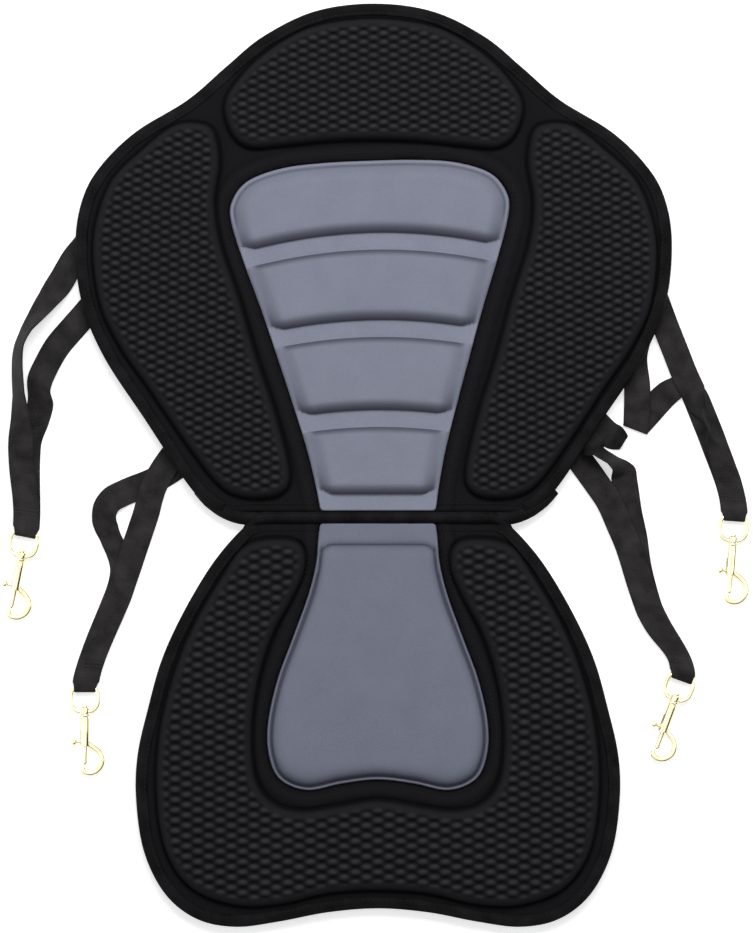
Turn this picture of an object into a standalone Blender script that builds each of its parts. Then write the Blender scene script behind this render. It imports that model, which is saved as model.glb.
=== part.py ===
"""Folding kayak seat: a padded backrest and a padded seat joined by a sewn fold, with four webbing straps.

The seat lies open on the floor, face up. X runs across it, +Y points from the seat to the backrest's top,
and +Z is up. The origin is on the floor under the middle of the seat. Sizes are in millimetres
and are turned into metres when a mesh is made.
"""

import math

import bmesh
import bpy
import numpy as np
from mathutils import Matrix, Vector

MM = 0.001

# Driving dimensions: layers
CLEARANCE = 0.3
WEBBING_WIDTH = 20.0
WEBBING_THICKNESS = 1.2
COVER_THICKNESS = 1.0
BOARD_THICKNESS = 3.5
FRONT_THICKNESS = 3.7
BINDING_THICKNESS = 0.9
BINDING_WIDTH = 9.5
BINDING_WALL = 1.5
BINDING_SHOULDER = 2.2
BINDING_CHAMFER = 0.7
BINDING_START = 3.2
COVER_SLOPE = 0.6
SIDE_PAD_HEIGHT = 11.0
TOP_PAD_HEIGHT = 11.0
SEAT_PAD_HEIGHT = 11.0
PANEL_BASE_HEIGHT = 1.6
RIB_HEIGHT = 5.0
SEAT_PANEL_HEIGHT = 6.0

# Driving dimensions: the fold between seat and backrest
HINGE_Y = 160.0
FOLD_BEAD_RADIUS = 4.1
FOLD_BEAD_HALF_LENGTH = 88.0
# The seat is sewn on slightly to the right of the backrest's middle
SEAT_MIDDLE = 3.2
# How the bead turns into the tape at a corner: (past its straight run, forwards, down, thinner by)
FOLD_BEAD_TURN = [(8.0, 1.6, 0.6, 0.0), (14.0, 6.0, 2.0, 0.6), (18.5, 13.0, 4.0, 2.8)]

# Driving dimensions: the swivel snap
EYE_WIRE = 3.2
EYE_HALF_WIDTH = 10.2
EYE_LENGTH = 17.0
EYE_CORNER = 4.4
# The eye's sloping sides from the collar out, as (share of the half width, place along it)
EYE_SIDES = [(0.55, 0.1), (0.92, -3.6), (1.0, -8.0)]
EYE_TOP = 0.6
BUNCHED_WIDTH = 2 * (EYE_HALF_WIDTH - EYE_CORNER) + 1.0
METAL_CHAMFER = 0.6
COLLAR_DIAMETER = 7.0
COLLAR_HALF_LENGTH = 2.2
STEM_DIAMETER = 3.0
STEM_HEAD_DIAMETER = 5.4
STEM_HEAD_THICKNESS = 1.6
SHOULDER_DIAMETER = 8.0
SNAP_AXIS_HEIGHT = SHOULDER_DIAMETER / 2
SHOULDER_THICKNESS = 1.4
BARREL_DIAMETER = 7.4
BARREL_LENGTH = 23.0
BOLT_DIAMETER = 3.6
BOLT_LENGTH = 20.0
BOLT_TRAVEL = 8.0
BORE_DEPTH = 20.0
KNOB_DIAMETER = 5.2
KNOB_REACH = 8.0
KNOB_STEM = 2.4
KNOB_ROOT = 0.4
KNOB_SETBACK = 3.4
KNOB_HEAD = 3.2
SLOT_WIDTH = 3.0
HOOK_WIRE = 4.0
HOOK_REACH = 13.2
HOOK_LENGTH = 21.0
HOOK_TIP = 0.705
HOOK_TIP_TAPER = 0.72
# Centre line of the hook from the barrel's end, as (share of the reach, share of the length)
HOOK_CURVE = [
    (0.12, -0.22), (0.23, -0.086), (0.56, 0.057), (0.86, 0.238), (1.0, 0.5), (0.9, 0.743), (0.6, 0.924),
    (0.22, 0.971), (-0.07, 0.886), (-0.144, HOOK_TIP),
]
SPRING_WIRE = 0.7
SPRING_TURNS = 6
SPRING_STEPS = 6

# How far the cutting shapes reach past what they cut
CUT_MARGIN = 3.0

# Where the layers and the grey panels end beside the fold bead
RIM = BINDING_WALL + CLEARANCE
FOLD_EDGE = FOLD_BEAD_RADIUS + CLEARANCE - RIM
PANEL_END = FOLD_BEAD_RADIUS + 2 * CLEARANCE
PANEL_END_HALF_WIDTH = 44.0

# Half outlines, right side, from the middle of one end to the middle of the other, from the hinge line
BACKREST_HALF = [
    (0, 389), (45, 383), (84, 364), (112, 341), (141, 316), (180, 292), (206, 267), (220, 243),
    (226, 210), (222, 165), (205, 122), (173, 73), (142, 26), (127, 10), (112, FOLD_EDGE), (90, FOLD_EDGE),
    (45, FOLD_EDGE), (0, FOLD_EDGE),
]
SEAT_HALF = [
    (0, -FOLD_EDGE), (40, -FOLD_EDGE), (75, -FOLD_EDGE), (93, -FOLD_EDGE - 0.8), (105, -11), (126, -36),
    (147.5, -72), (164, -108), (174.5, -145), (182.5, -181), (183.5, -215), (177.5, -254), (161.5, -286),
    (137.5, -305), (108, -311), (75, -307), (38, -300), (0, -297),
]
BACKREST_PANEL_HALF = [
    (0, 269.5), (35, 269), (66, 266), (92, 257), (104, 242), (105, 226), (96, 194), (84, 158), (73, 122),
    (62, 85), (52, 49), (46, 20), (PANEL_END_HALF_WIDTH + 0.5, 10),
    (PANEL_END_HALF_WIDTH - 0.6, PANEL_END + 0.8),
    (PANEL_END_HALF_WIDTH - 3, PANEL_END), (34, PANEL_END), (17, PANEL_END), (0, PANEL_END),
]
SEAT_PANEL_HALF = [
    (0, -PANEL_END), (17, -PANEL_END), (34, -PANEL_END), (PANEL_END_HALF_WIDTH - 3, -PANEL_END),
    (PANEL_END_HALF_WIDTH - 0.6, -PANEL_END - 0.8), (PANEL_END_HALF_WIDTH + 0.5, -10), (45.5, -20),
    (47, -36), (53, -60), (65, -93), (76, -123), (83, -154), (83, -178), (75, -198), (54, -207), (27, -202),
    (0, -199),
]
# The seat panel's raised middle starts in front of a flat strip and then follows the panel's outline
SEAT_RAISED_HALF = [(0, -17), (24, -17), (39, -18), (47, -26), (48.5, -40)] + SEAT_PANEL_HALF[8:]
SEAT_RAISED_INSET = 5.5
TOP_PAD_HALF = [
    (0, 377), (45, 371), (78, 354), (101, 333), (113, 312), (108, 290), (94, 279), (68, 280.5), (34, 284),
    (0, 285),
]
SIDE_PAD = [
    (131, 298), (151, 296), (175, 278), (200, 252), (213, 210), (209, 163), (194, 129), (173, 98), (142, 52),
    (121, 25), (106, 16), (88, 14), (72, 18), (66, 33), (76, 77), (90, 120), (103, 166), (116, 206),
    (120, 238), (116, 268), (120, 291),
]
SEAT_PAD_HALF = [
    (0, -214), (33, -219), (58, -222), (79, -216), (92, -198), (95, -163), (90, -124), (79, -89), (65, -63),
    (55, -40), (57, -22), (72, -16), (100, -21), (118.5, -45.5), (138, -78.5), (153.5, -115), (165, -160),
    (168, -207), (161, -252), (141, -281), (107, -294), (73, -293), (38, -285), (0, -282.5),
]

# The backrest's panel is sewn in slightly askew: off the middle at the fold, leaning and tilting above it
PANEL_OFFSET = 3.5
PANEL_LEAN = 7.6
PANEL_TILT = 0.036
PANEL_LENGTH = BACKREST_PANEL_HALF[0][1]
SIDE_PAD_OFFSET = 3.5

# Rows of the backrest's ribs: (lower, upper) edge at the middle. All arch but for the lowest one's foot.
RIBS = [(215, 265), (149, 202), (81, 136), (17, 68)]
RIB_ARCH_RADIUS = 385.0
RIB_ARCH_FROM = 20.0
RIB_ARCH_FULL = 65.0
RIB_SIDE_INSET = 7.0
RIB_CORNER = 9.0
RIB_CORNER_STEPS = 4

# Sections of the raised shapes, as (distance in from the outline, share of the height), from a buried foot up
PAD_PROFILE = [(0.0, -0.14), (0.4, 0.35), (2.2, 0.75), (6.0, 1.0)]
RIB_PROFILE = [(0.0, -0.16), (0.3, 0.4), (1.6, 0.8), (4.5, 1.0)]

# Straps: runs of (x, y, level, ruling angle, roll). The level counts layers of webbing from the floor,
# the ruling angle points from one edge of the webbing to the other, and the roll lifts that second edge.
# Runs meet at a flat fold, or at the snap.
STRAPS = {
    "upper_left": {
        "swivel": (-267.4, -29.1),
        "heading": -101.0,
        "main": [
            (-205, 230, 1, -38, 0), (-217, 209, 1, -39, 0), (-228, 195, 1, -40, 0), (-238, 178, 1, -38, 0),
            (-247, 165, 1, -36, 30), (-256, 152, 1, -16, 47), (-264, 140, 1, 12, 56), (-269, 128, 1, 22, 60),
            (-270, 113, 1, 20, 60), (-269, 93, 1, 14, 58), (-268, 75, 1, 8, 40), (-268, 60, 1, 2, 18),
            (-268, 42, 1, 2, 8), (-267, 24, 1, -6, 0),
        ],
        "second": [[
            (-265, 24, 0, -6, 0), (-264, 42, 0, 4, 0), (-262, 57, 0, 2, 0), (-257, 71, 0, -4, 0),
            (-253, 87, 1, -12, 0), (-254, 101, 3, -29, 0), (-248, 116, 1.5, -38, 0), (-240, 130, 0, -38, 0),
            (-229, 143, 0, -41, 0), (-215, 159, 0, -43, 0), (-200, 178, 0, -40, 0),
        ]],
    },
    "lower_left": {
        "swivel": (-219.3, -147.2),
        "heading": -90.0,
        "main": [
            (-131, 71, 1, -38, 0), (-152, 47, 1, -39, 0), (-164, 29, 1, -36, 0), (-169, 17, 1, -24, 0),
            (-173, 2, 1, -17, 0), (-181, -22, 1, -19, 0), (-188, -43, 1, -23, 0), (-196, -66, 1, -25, 0),
            (-205, -86, 1, -22, 0),
        ],
        "second": [[
            (-205, -86, 0, -22, 0), (-196, -64, 0, -24, 0), (-191, -43, 0, -21, 0), (-197, -22, 0, -8, 0),
            (-201.5, -13, 0, -8, 0), (-204, -5, 1, -8, 0), (-204, 5, 2.5, -32, 0), (-199, 13, 2.5, -58, 0),
            (-191, 17.5, 1, -70, 0), (-183, 21, 0, -70, 0), (-168, 27, 0, -68, 0), (-153, 36, 0, -63, 0),
            (-132, 50, 0, -57, 0),
        ]],
    },
    "upper_right": {
        "swivel": (272.6, -17.4),
        "heading": -94.0,
        "main": [
            (209, 179, 1, 23, 0), (222, 144, 1, 21, 0), (229, 126, 2, 20, 0), (236, 108, 2, 20, 4),
            (242, 95, 2, 26, 20), (247, 83, 1.5, 46, 52), (251, 73, 1, 82, 82), (255, 64, 1, 128, 62),
            (260, 54, 1, 164, 28), (265, 42, 1, 186, 8), (269, 29, 1, 190, 0),
        ],
        "second": [
            [(269, 29, 0, 10, 0), (262, 46, 0, 14, 0), (257, 60, 0, 17, 0), (251, 75, 0, 20, 0),
             (244, 92, 0, 12, 0), (237, 105, 0, -6, 0)],
            [(237, 105, 1, -6, 0), (230, 99.5, 1, -24, 0), (225, 95.5, 1, -34, 0), (219, 90, 0, -36, 0),
             (210, 80, 0, -36, 0), (199, 67, 0, -21, 0)],
            [(199, 67, 1, -21, 0), (200, 84, 1, -7, 0), (200, 100, 1, 3, 0), (198, 119, 0.2, 7, 0),
             (201, 136, 0, 4, 0), (203, 162, 0, 4, 0)],
        ],
    },
    "lower_right": {
        "swivel": (228.5, -137.8),
        "heading": -110.0,
        "main": [
            (144, 60, 0, 39, 0), (159, 40, 0, 38, 0), (169, 26, 0.8, 31, 0), (179, 11, 1, 25, 0),
            (187, -7, 1, 21, 0), (194, -24, 1, 18, 0), (203, -53, 1, 17, 0), (211, -75, 1, 21, 0),
            (221, -97, 1, 22, 0),
        ],
        "second": [
            [(221, -97, 0, 22, 0), (211, -74, 0, 21, 0), (202, -42, 0, 15, 0), (198, -16, 0, 12, 0),
             (194, 3, 0, 10, 0), (192, 17, 0, 12, 0), (190.5, 27, 0, 16, 0), (190, 32, 0, 17, 0),
             (188, 38, 0, 21, -40), (181, 43, 0.4, 26, -60), (170.5, 49.5, 1, 31, -60),
             (165.5, 54.5, 1, 35, 0), (156.5, 66, 1, 42, 0), (144, 87, 1, 53, 0)],
            [(144, 87, 0, 53, 0), (156, 82, 0, 60, 0), (168, 73, 0, 58, 0), (177.5, 63.5, 0, 58, 0),
             (182.5, 60.5, 0, 58, 8), (189.5, 56, 0, 62, 56)],
        ],
    },
}
STATION_SPACING = 5.0
LOOP_STEPS = 6
STRAP_RAMP = 19.0
# How the webbing closes in on the eye's bar: shares of the ramp, of the climb and of the narrowing
STRAP_TAPER = [(1.0, 0.0, 0.0), (0.75, 0.07, 0.08), (0.42, 0.5, 0.22), (0.16, 0.91, 0.92)]


def seat_levels(base):
    """Heights of the layers over the base, from the cover's underside up."""
    cover_rim = base + BINDING_THICKNESS + CLEARANCE
    cover_top = cover_rim + COVER_THICKNESS
    board_bottom = cover_top + CLEARANCE
    board_top = board_bottom + BOARD_THICKNESS
    front_bottom = board_top + CLEARANCE
    front_top = front_bottom + FRONT_THICKNESS
    return {
        "base": base,
        "cover_rim": cover_rim,
        "cover_top": cover_top,
        "board_bottom": board_bottom,
        "board_top": board_top,
        "front_bottom": front_bottom,
        "front_top": front_top,
        "binding_top": front_top + CLEARANCE + BINDING_THICKNESS,
    }


SEAT = seat_levels(0.0)
# The backrest lies on two layers of webbing
BACKREST = seat_levels(2 * WEBBING_THICKNESS + 2 * CLEARANCE)
HINGE_Z = SEAT["front_top"]

# How finely round forms are divided
CURVE_STEPS = 2
WIRE_SIDES = 8
KNOB_SIDES = 10
TURNED_SIDES = 12
BEAD_SIDES = 12
BEAD_STEPS = 3


def clear_scene():
    for obj in list(bpy.data.objects):
        bpy.data.objects.remove(obj, do_unlink=True)


def material(name, colour, roughness, metallic=0.0):
    made = bpy.data.materials.new(name)
    made.use_nodes = True
    shader = made.node_tree.nodes["Principled BSDF"]
    shader.inputs["Base Color"].default_value = (*colour, 1.0)
    shader.inputs["Roughness"].default_value = roughness
    shader.inputs["Metallic"].default_value = metallic
    return made


def mesh_object(name, points, faces, made_of=None, origin=(0.0, 0.0, 0.0), smooth=True):
    """An object from points in millimetres, with its own origin, faces turned outwards."""
    origin = Vector(origin)
    mesh = bpy.data.meshes.new(name)
    mesh.from_pydata([(Vector(p) - origin) * MM for p in points], [], faces)
    shaped = bmesh.new()
    shaped.from_mesh(mesh)
    bmesh.ops.recalc_face_normals(shaped, faces=shaped.faces)
    shaped.to_mesh(mesh)
    shaped.free()
    if smooth:
        mesh.shade_smooth()
        mesh.set_sharp_from_angle(angle=math.radians(40))
    obj = bpy.data.objects.new(name, mesh)
    obj.location = origin * MM
    bpy.context.scene.collection.objects.link(obj)
    if made_of:
        mesh.materials.append(made_of)
    return obj


def hide_as_tool(obj):
    obj.hide_render = True
    obj.display_type = "WIRE"
    return obj


def combine(obj, other, operation):
    modifier = obj.modifiers.new(other.name, "BOOLEAN")
    modifier.operation = operation
    modifier.solver = "EXACT"
    modifier.object = hide_as_tool(other)


def spline_point(before, here, there, after, share):
    """A point of the smooth curve that passes through the middle two of four points."""
    first = there - before
    second = 2 * before - 5 * here + 4 * there - after
    third = 3 * here - before - 3 * there + after
    return 0.5 * (2 * here + first * share + second * share ** 2 + third * share ** 3)


def smooth_curve(values, closed, steps):
    """Points on a smooth curve through rows of numbers, with steps of them from each row to the next."""
    count = len(values)
    rows = [Vector(row) for row in values]
    curve = []
    for i in range(count if closed else count - 1):
        before = rows[i - 1] if closed or i > 0 else 2 * rows[0] - rows[1]
        after = rows[(i + 2) % count] if closed or i + 2 < count else 2 * rows[-1] - rows[-2]
        for step in range(steps):
            curve.append(spline_point(before, rows[i], rows[(i + 1) % count], after, step / steps))
    if not closed:
        curve.append(rows[-1])
    return curve


def mirrored(half, middle=0.0):
    """A closed outline from its right half, which starts and ends on the middle line."""
    left = [(-x, y) for x, y in reversed(half[1:-1])]
    return [(x + middle, y + HINGE_Y) for x, y in half + left]


def askew(x, y):
    """Where a point of the backrest's straight pattern lies once it is sewn in."""
    share = y / PANEL_LENGTH
    return x + PANEL_OFFSET - PANEL_LEAN * share, HINGE_Y + y + PANEL_TILT * x * share


def outline(points):
    return smooth_curve(points, True, CURVE_STEPS)


def inset(loop, distance):
    """The closed loop moved inwards by a distance, or outwards by a negative one."""
    count = len(loop)
    following = loop[1:] + loop[:1]
    area = sum(a.x * b.y - b.x * a.y for a, b in zip(loop, following))
    inward = 1.0 if area > 0 else -1.0
    moved = []
    for i in range(count):
        tangent = (loop[(i + 1) % count] - loop[i - 1]).normalized()
        moved.append(loop[i] + inward * distance * Vector((-tangent.y, tangent.x)))
    return moved


def at_height(loop, z):
    return [(p.x, p.y, z) for p in loop]


def loft(name, rings, capped=True, **kwargs):
    """A solid through rings of equally many points; the first and last ring are its ends."""
    count = len(rings[0])
    points = [p for ring in rings for p in ring]
    faces = []
    rows = len(rings)
    for row in range(rows if not capped else rows - 1):
        following = (row + 1) % rows
        for i in range(count):
            j = (i + 1) % count
            faces.append((row * count + i, row * count + j, following * count + j, following * count + i))
    if capped:
        faces.append(tuple(range(count)))
        faces.append(tuple(range((rows - 1) * count, rows * count)))
    return mesh_object(name, points, faces, **kwargs)


def slab(name, loop, bottom, top, **kwargs):
    return loft(name, [at_height(loop, bottom), at_height(loop, top)], **kwargs)


def pad(name, loop, floor, height):
    """A moulded pad: steep sides and a rounded shoulder under a flat top."""
    return loft(name, [at_height(inset(loop, pull), floor + rise * height) for pull, rise in PAD_PROFILE])


def cover(name, loop, levels, made_of, origin):
    """A plain cover whose middle lies lower than its rim, which the binding wraps."""
    inner = inset(loop, BINDING_WIDTH + 2 * CLEARANCE + COVER_SLOPE)
    edge = inset(loop, RIM)
    rings = [
        at_height(inner, levels["base"]),
        at_height(inset(loop, BINDING_WIDTH + CLEARANCE), levels["cover_rim"]),
        at_height(edge, levels["cover_rim"]),
        at_height(edge, levels["cover_top"]),
    ]
    return loft(name, rings, made_of=made_of, origin=origin)


def binding_profile(levels):
    """Section of the folded tape as (distance in from the edge, height), round the outside and back."""
    low = levels["base"]
    high = levels["binding_top"]
    return [
        (BINDING_WIDTH, high), (BINDING_SHOULDER, high), (BINDING_CHAMFER, high - BINDING_CHAMFER),
        (0.0, (low + high) / 2), (BINDING_CHAMFER, low + BINDING_CHAMFER), (BINDING_SHOULDER, low),
        (BINDING_WIDTH, low), (BINDING_WIDTH, low + BINDING_THICKNESS),
        (BINDING_WALL, low + BINDING_THICKNESS), (BINDING_WALL, high - BINDING_THICKNESS),
        (BINDING_WIDTH, high - BINDING_THICKNESS),
    ]


def binding(name, loop, levels, keep, made_of, origin):
    """The tape over the edge, along the stretch of the loop that keep picks."""
    rings_in = {u: inset(loop, u) for u, _ in binding_profile(levels)}
    chosen = [i for i in range(len(loop)) if keep(loop[i])]
    start = next(k for k, i in enumerate(chosen) if (i - 1) % len(loop) not in chosen)
    ordered = chosen[start:] + chosen[:start]
    rings = []
    for i in ordered:
        rings.append([(rings_in[u][i].x, rings_in[u][i].y, z) for u, z in binding_profile(levels)])
    return loft(name, rings, made_of=made_of, origin=origin)


def sweep(name, path, radii, sides, **kwargs):
    """A round bar along a path of 3-D points, with a radius at each."""
    count = len(path)
    rings = []
    side = None
    for i, point in enumerate(path):
        tangent = (path[min(i + 1, count - 1)] - path[max(i - 1, 0)]).normalized()
        if side is None:
            side = tangent.cross(Vector((0, 0, 1))).normalized()
        side = (side - tangent * side.dot(tangent)).normalized()
        up = side.cross(tangent)
        ring = []
        for k in range(sides):
            angle = 2 * math.pi * k / sides
            ring.append(tuple(point + radii[i] * (math.cos(angle) * side + math.sin(angle) * up)))
        rings.append(ring)
    return loft(name, rings, **kwargs)


def fold_bead():
    """The rolled run of the seat's binding along the fold, blended into the tape at both corners."""
    straight = [FOLD_BEAD_HALF_LENGTH * share for share in (0.0, 0.35, 0.65, 0.85, 1.0)]
    right = [(x, HINGE_Y, HINGE_Z, FOLD_BEAD_RADIUS) for x in straight]
    for beyond, forwards, down, thinner in FOLD_BEAD_TURN:
        x = FOLD_BEAD_HALF_LENGTH + beyond
        right.append((x, HINGE_Y - forwards, HINGE_Z - down, FOLD_BEAD_RADIUS - thinner))
    left = [(-x, y, z, r) for x, y, z, r in reversed(right[1:])]
    rows = smooth_curve([Vector(row) for row in left + right], False, BEAD_STEPS)
    path = [Vector((row[0] + SEAT_MIDDLE, row[1], row[2])) for row in rows]
    return sweep("fold_bead_shape", path, [row[3] for row in rows], BEAD_SIDES)


def panel_half_width(y):
    """Half the width of the backrest's grey panel at a height over the hinge line."""
    rows = sorted((row_y, x) for x, row_y in BACKREST_PANEL_HALF)
    return float(np.interp(y, [row[0] for row in rows], [row[1] for row in rows]))


def rib(name, lower, upper, floor):
    """One arched rib that follows the panel's tapering sides."""
    middle = (lower + upper) / 2
    half_height = (upper - lower) / 2
    half_width = panel_half_width(middle) - RIB_SIDE_INSET
    corner = min(RIB_CORNER, half_height)
    loop = []
    for quarter, (sx, sy) in enumerate(((1, 1), (-1, 1), (-1, -1), (1, -1))):
        for k in range(RIB_CORNER_STEPS + 1):
            angle = math.pi / 2 * (quarter + k / RIB_CORNER_STEPS)
            x = sx * (half_width - corner) + corner * math.cos(angle)
            loop.append((x, sy * (half_height - corner) + corner * math.sin(angle)))
        if sx == sy:
            straight = sx * (half_width - corner)
            loop.extend((straight * share, sy * half_height) for share in (0.5, 0.0, -0.5))
    arched = []
    for x, v in loop:
        share = x / half_width
        y = middle + v
        x_here = share * (panel_half_width(y) - RIB_SIDE_INSET)
        bend = min(max((y - RIB_ARCH_FROM) / (RIB_ARCH_FULL - RIB_ARCH_FROM), 0.0), 1.0)
        arched.append(Vector(askew(x_here, y - bend * x_here ** 2 / (2 * RIB_ARCH_RADIUS))))
    rings = [at_height(inset(arched, pull), floor + rise * RIB_HEIGHT) for pull, rise in RIB_PROFILE]
    return loft(name, rings)


def front_with_window(name, loop, panel_loop, middle, side, levels, made_of, origin):
    """The black moulded front, open for the grey panel; middle is its X at the fold, side its Y direction."""
    low = levels["front_bottom"]
    high = levels["front_top"]
    front = slab(name, inset(loop, RIM), low, high, made_of=made_of, origin=origin)
    window = slab(name + "_window", inset(panel_loop, -CLEARANCE), low - CUT_MARGIN, high + CUT_MARGIN)
    left = middle - PANEL_END_HALF_WIDTH - CLEARANCE
    right = middle + PANEL_END_HALF_WIDTH + CLEARANCE
    ends = sorted((HINGE_Y, HINGE_Y + side * (PANEL_END + CUT_MARGIN)))
    mouth_low = (left, ends[0], low - 2 * CUT_MARGIN)
    mouth_high = (right, ends[1], high + 2 * CUT_MARGIN)
    mouth = box(name + "_mouth", mouth_low, mouth_high)
    combine(front, window, "DIFFERENCE")
    combine(front, mouth, "DIFFERENCE")
    return front


def backrest(made):
    loop = outline(mirrored(BACKREST_HALF))
    origin = (0.0, HINGE_Y, HINGE_Z)
    panel_loop = outline([askew(x, y - HINGE_Y) for x, y in mirrored(BACKREST_PANEL_HALF)])
    front = front_with_window(
        "backrest_front", loop, panel_loop, PANEL_OFFSET, 1, BACKREST, made["black"], origin)
    floor = BACKREST["front_top"]
    combine(front, pad("top_pad_shape", outline(mirrored(TOP_PAD_HALF)), floor, TOP_PAD_HEIGHT), "UNION")
    for side, sign in (("right", 1), ("left", -1)):
        points = [(sign * x + SIDE_PAD_OFFSET * (1 - y / PANEL_LENGTH), y + HINGE_Y) for x, y in SIDE_PAD]
        combine(front, pad(f"{side}_pad_shape", outline(points), floor, SIDE_PAD_HEIGHT), "UNION")
    panel = slab("backrest_centre_panel", panel_loop, BACKREST["front_bottom"], floor + PANEL_BASE_HEIGHT,
                 made_of=made["grey"], origin=origin)
    for number, (lower, upper) in enumerate(RIBS, 1):
        combine(panel, rib(f"rib_{number}_shape", lower, upper, floor + PANEL_BASE_HEIGHT), "UNION")
    slab("backrest_foam_board", inset(loop, RIM), BACKREST["board_bottom"], BACKREST["board_top"],
         made_of=made["foam"], origin=origin)
    cover("backrest_back_cover", loop, BACKREST, made["cover"], origin)
    start = HINGE_Y + BINDING_START
    binding("backrest_binding", loop, BACKREST, lambda p: p.y > start, made["binding"], origin)


def seat(made):
    loop = outline(mirrored(SEAT_HALF, SEAT_MIDDLE))
    origin = (0.0, HINGE_Y, HINGE_Z)
    panel_loop = outline(mirrored(SEAT_PANEL_HALF, SEAT_MIDDLE))
    front = front_with_window("seat_top", loop, panel_loop, SEAT_MIDDLE, -1, SEAT, made["black"], origin)
    floor = SEAT["front_top"]
    pad_loop = outline(mirrored(SEAT_PAD_HALF, SEAT_MIDDLE))
    combine(front, pad("seat_pad_shape", pad_loop, floor, SEAT_PAD_HEIGHT), "UNION")
    panel = slab("seat_centre_panel", panel_loop, SEAT["front_bottom"], floor + PANEL_BASE_HEIGHT,
                 made_of=made["grey"], origin=origin)
    raised = inset(outline(mirrored(SEAT_RAISED_HALF, SEAT_MIDDLE)), SEAT_RAISED_INSET)
    raised_pad = pad("seat_panel_pad_shape", raised, floor + PANEL_BASE_HEIGHT, SEAT_PANEL_HEIGHT)
    combine(panel, raised_pad, "UNION")
    slab("seat_foam_board", inset(loop, RIM), SEAT["board_bottom"], SEAT["board_top"],
         made_of=made["foam"], origin=origin)
    cover("seat_bottom_cover", loop, SEAT, made["cover"], origin)
    start = HINGE_Y - BINDING_START
    tape = binding("seat_binding", loop, SEAT, lambda p: p.y < start, made["binding"], origin)
    combine(tape, fold_bead(), "UNION")


def webbing_height(level):
    return WEBBING_THICKNESS / 2 + level * (WEBBING_THICKNESS + CLEARANCE)


def run_frames(run):
    """Centre, direction across and width along one run of a strap, from its hand-set stations."""
    frames = []
    for i, (x, y, level, angle, roll) in enumerate(run):
        here = Vector((x, y))
        after = run[min(i + 1, len(run) - 1)]
        there = Vector(after[:2])
        before = Vector(run[i - 1][:2]) if i > 0 else 2 * here - there
        beyond = Vector(run[i + 2][:2]) if i + 2 < len(run) else 2 * there - here
        steps = max(1, round((there - here).length / STATION_SPACING))
        for step in range(steps):
            share = step / steps
            place = spline_point(before, here, there, beyond, share)
            lift = math.radians(roll + (after[4] - roll) * share)
            turn = math.radians(angle + (after[3] - angle) * share)
            flat = math.cos(lift)
            across = Vector((flat * math.cos(turn), flat * math.sin(turn), math.sin(lift)))
            height = webbing_height(level + (after[2] - level) * share)
            height += abs(across.z) * WEBBING_WIDTH / 2
            frames.append((Vector((place.x, place.y + HINGE_Y, height)), across, WEBBING_WIDTH))
    return frames


def flat_fold(before, after):
    """The bend between two runs that meet at a crease, pushed out past the crease by half its height."""
    lower, ruling, width = before[-1]
    upper = after[0][0]
    outward = (lower - before[-2][0]).normalized()
    outward = (outward - ruling * outward.dot(ruling)).normalized()
    reach = abs(upper.z - lower.z) / 2
    return [((lower + upper) / 2 + outward * reach, ruling, width)]


def snap_loop(swivel, heading, levels):
    """Stations of the webbing round the eye's bar, from the main run's level to the second run's."""
    along = Vector((math.cos(math.radians(heading)), math.sin(math.radians(heading)), 0))
    across = Vector((-along.y, along.x, 0))
    bar = Vector((swivel[0], swivel[1] + HINGE_Y, SNAP_AXIS_HEIGHT)) - along * EYE_LENGTH
    radius = EYE_WIRE / 2 + CLEARANCE + WEBBING_THICKNESS / 2
    upper = webbing_height(levels[0])
    lower = webbing_height(levels[1])
    top = SNAP_AXIS_HEIGHT + radius
    bottom = SNAP_AXIS_HEIGHT - radius
    narrowing = WEBBING_WIDTH - BUNCHED_WIDTH

    def ramp(flat, at_bar):
        stations = []
        for back, climb, narrow in STRAP_TAPER:
            centre = bar - along * STRAP_RAMP * back
            centre.z = flat + (at_bar - flat) * climb
            stations.append((centre, across, WEBBING_WIDTH - narrowing * narrow))
        return stations

    turn = []
    for k in range(LOOP_STEPS + 1):
        angle = math.pi / 2 - math.pi * k / LOOP_STEPS
        centre = bar + along * radius * math.cos(angle) + Vector((0, 0, radius * math.sin(angle)))
        turn.append((centre, across, BUNCHED_WIDTH))
    return ramp(upper, top) + turn + ramp(lower, bottom)[::-1]


def ribbon(name, frames, made_of):
    """A flat strap through its stations, each a centre, the direction across it and its width."""
    rings = []
    last_ruling = frames[0][1]
    for i, (centre, ruling, width) in enumerate(frames):
        if ruling.dot(last_ruling) < 0:
            ruling = -ruling
        last_ruling = ruling
        tangent = frames[min(i + 1, len(frames) - 1)][0] - frames[max(i - 1, 0)][0]
        tangent = (tangent - ruling * tangent.dot(ruling)).normalized()
        normal = tangent.cross(ruling).normalized() * (WEBBING_THICKNESS / 2)
        half = ruling * (width / 2)
        signs = ((-1, -1), (1, -1), (1, 1), (-1, 1))
        rings.append([tuple(centre + half * across + normal * up) for across, up in signs])
    return loft(name, rings, made_of=made_of)


def strap(name, spec, made):
    """One length of webbing: from under the backrest to the snap, round its eye and back."""
    levels = (spec["main"][-1][2], spec["second"][0][0][2])
    frames = run_frames(spec["main"]) + snap_loop(spec["swivel"], spec["heading"], levels)
    runs = [run_frames(run) for run in spec["second"]]
    frames += runs[0]
    for before, after in zip(runs, runs[1:]):
        frames += flat_fold(before, after) + after
    ribbon(f"{name}_strap", frames, made["webbing"])


def snap_frame(spec):
    """World matrix of a snap: +Y runs from its swivel to the hook, +Z up, origin on the swivel's axis."""
    x, y = spec["swivel"]
    turn = Matrix.Rotation(math.radians(spec["heading"] - 90), 4, "Z")
    return Matrix.Translation((x * MM, (y + HINGE_Y) * MM, SNAP_AXIS_HEIGHT * MM)) @ turn


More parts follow.
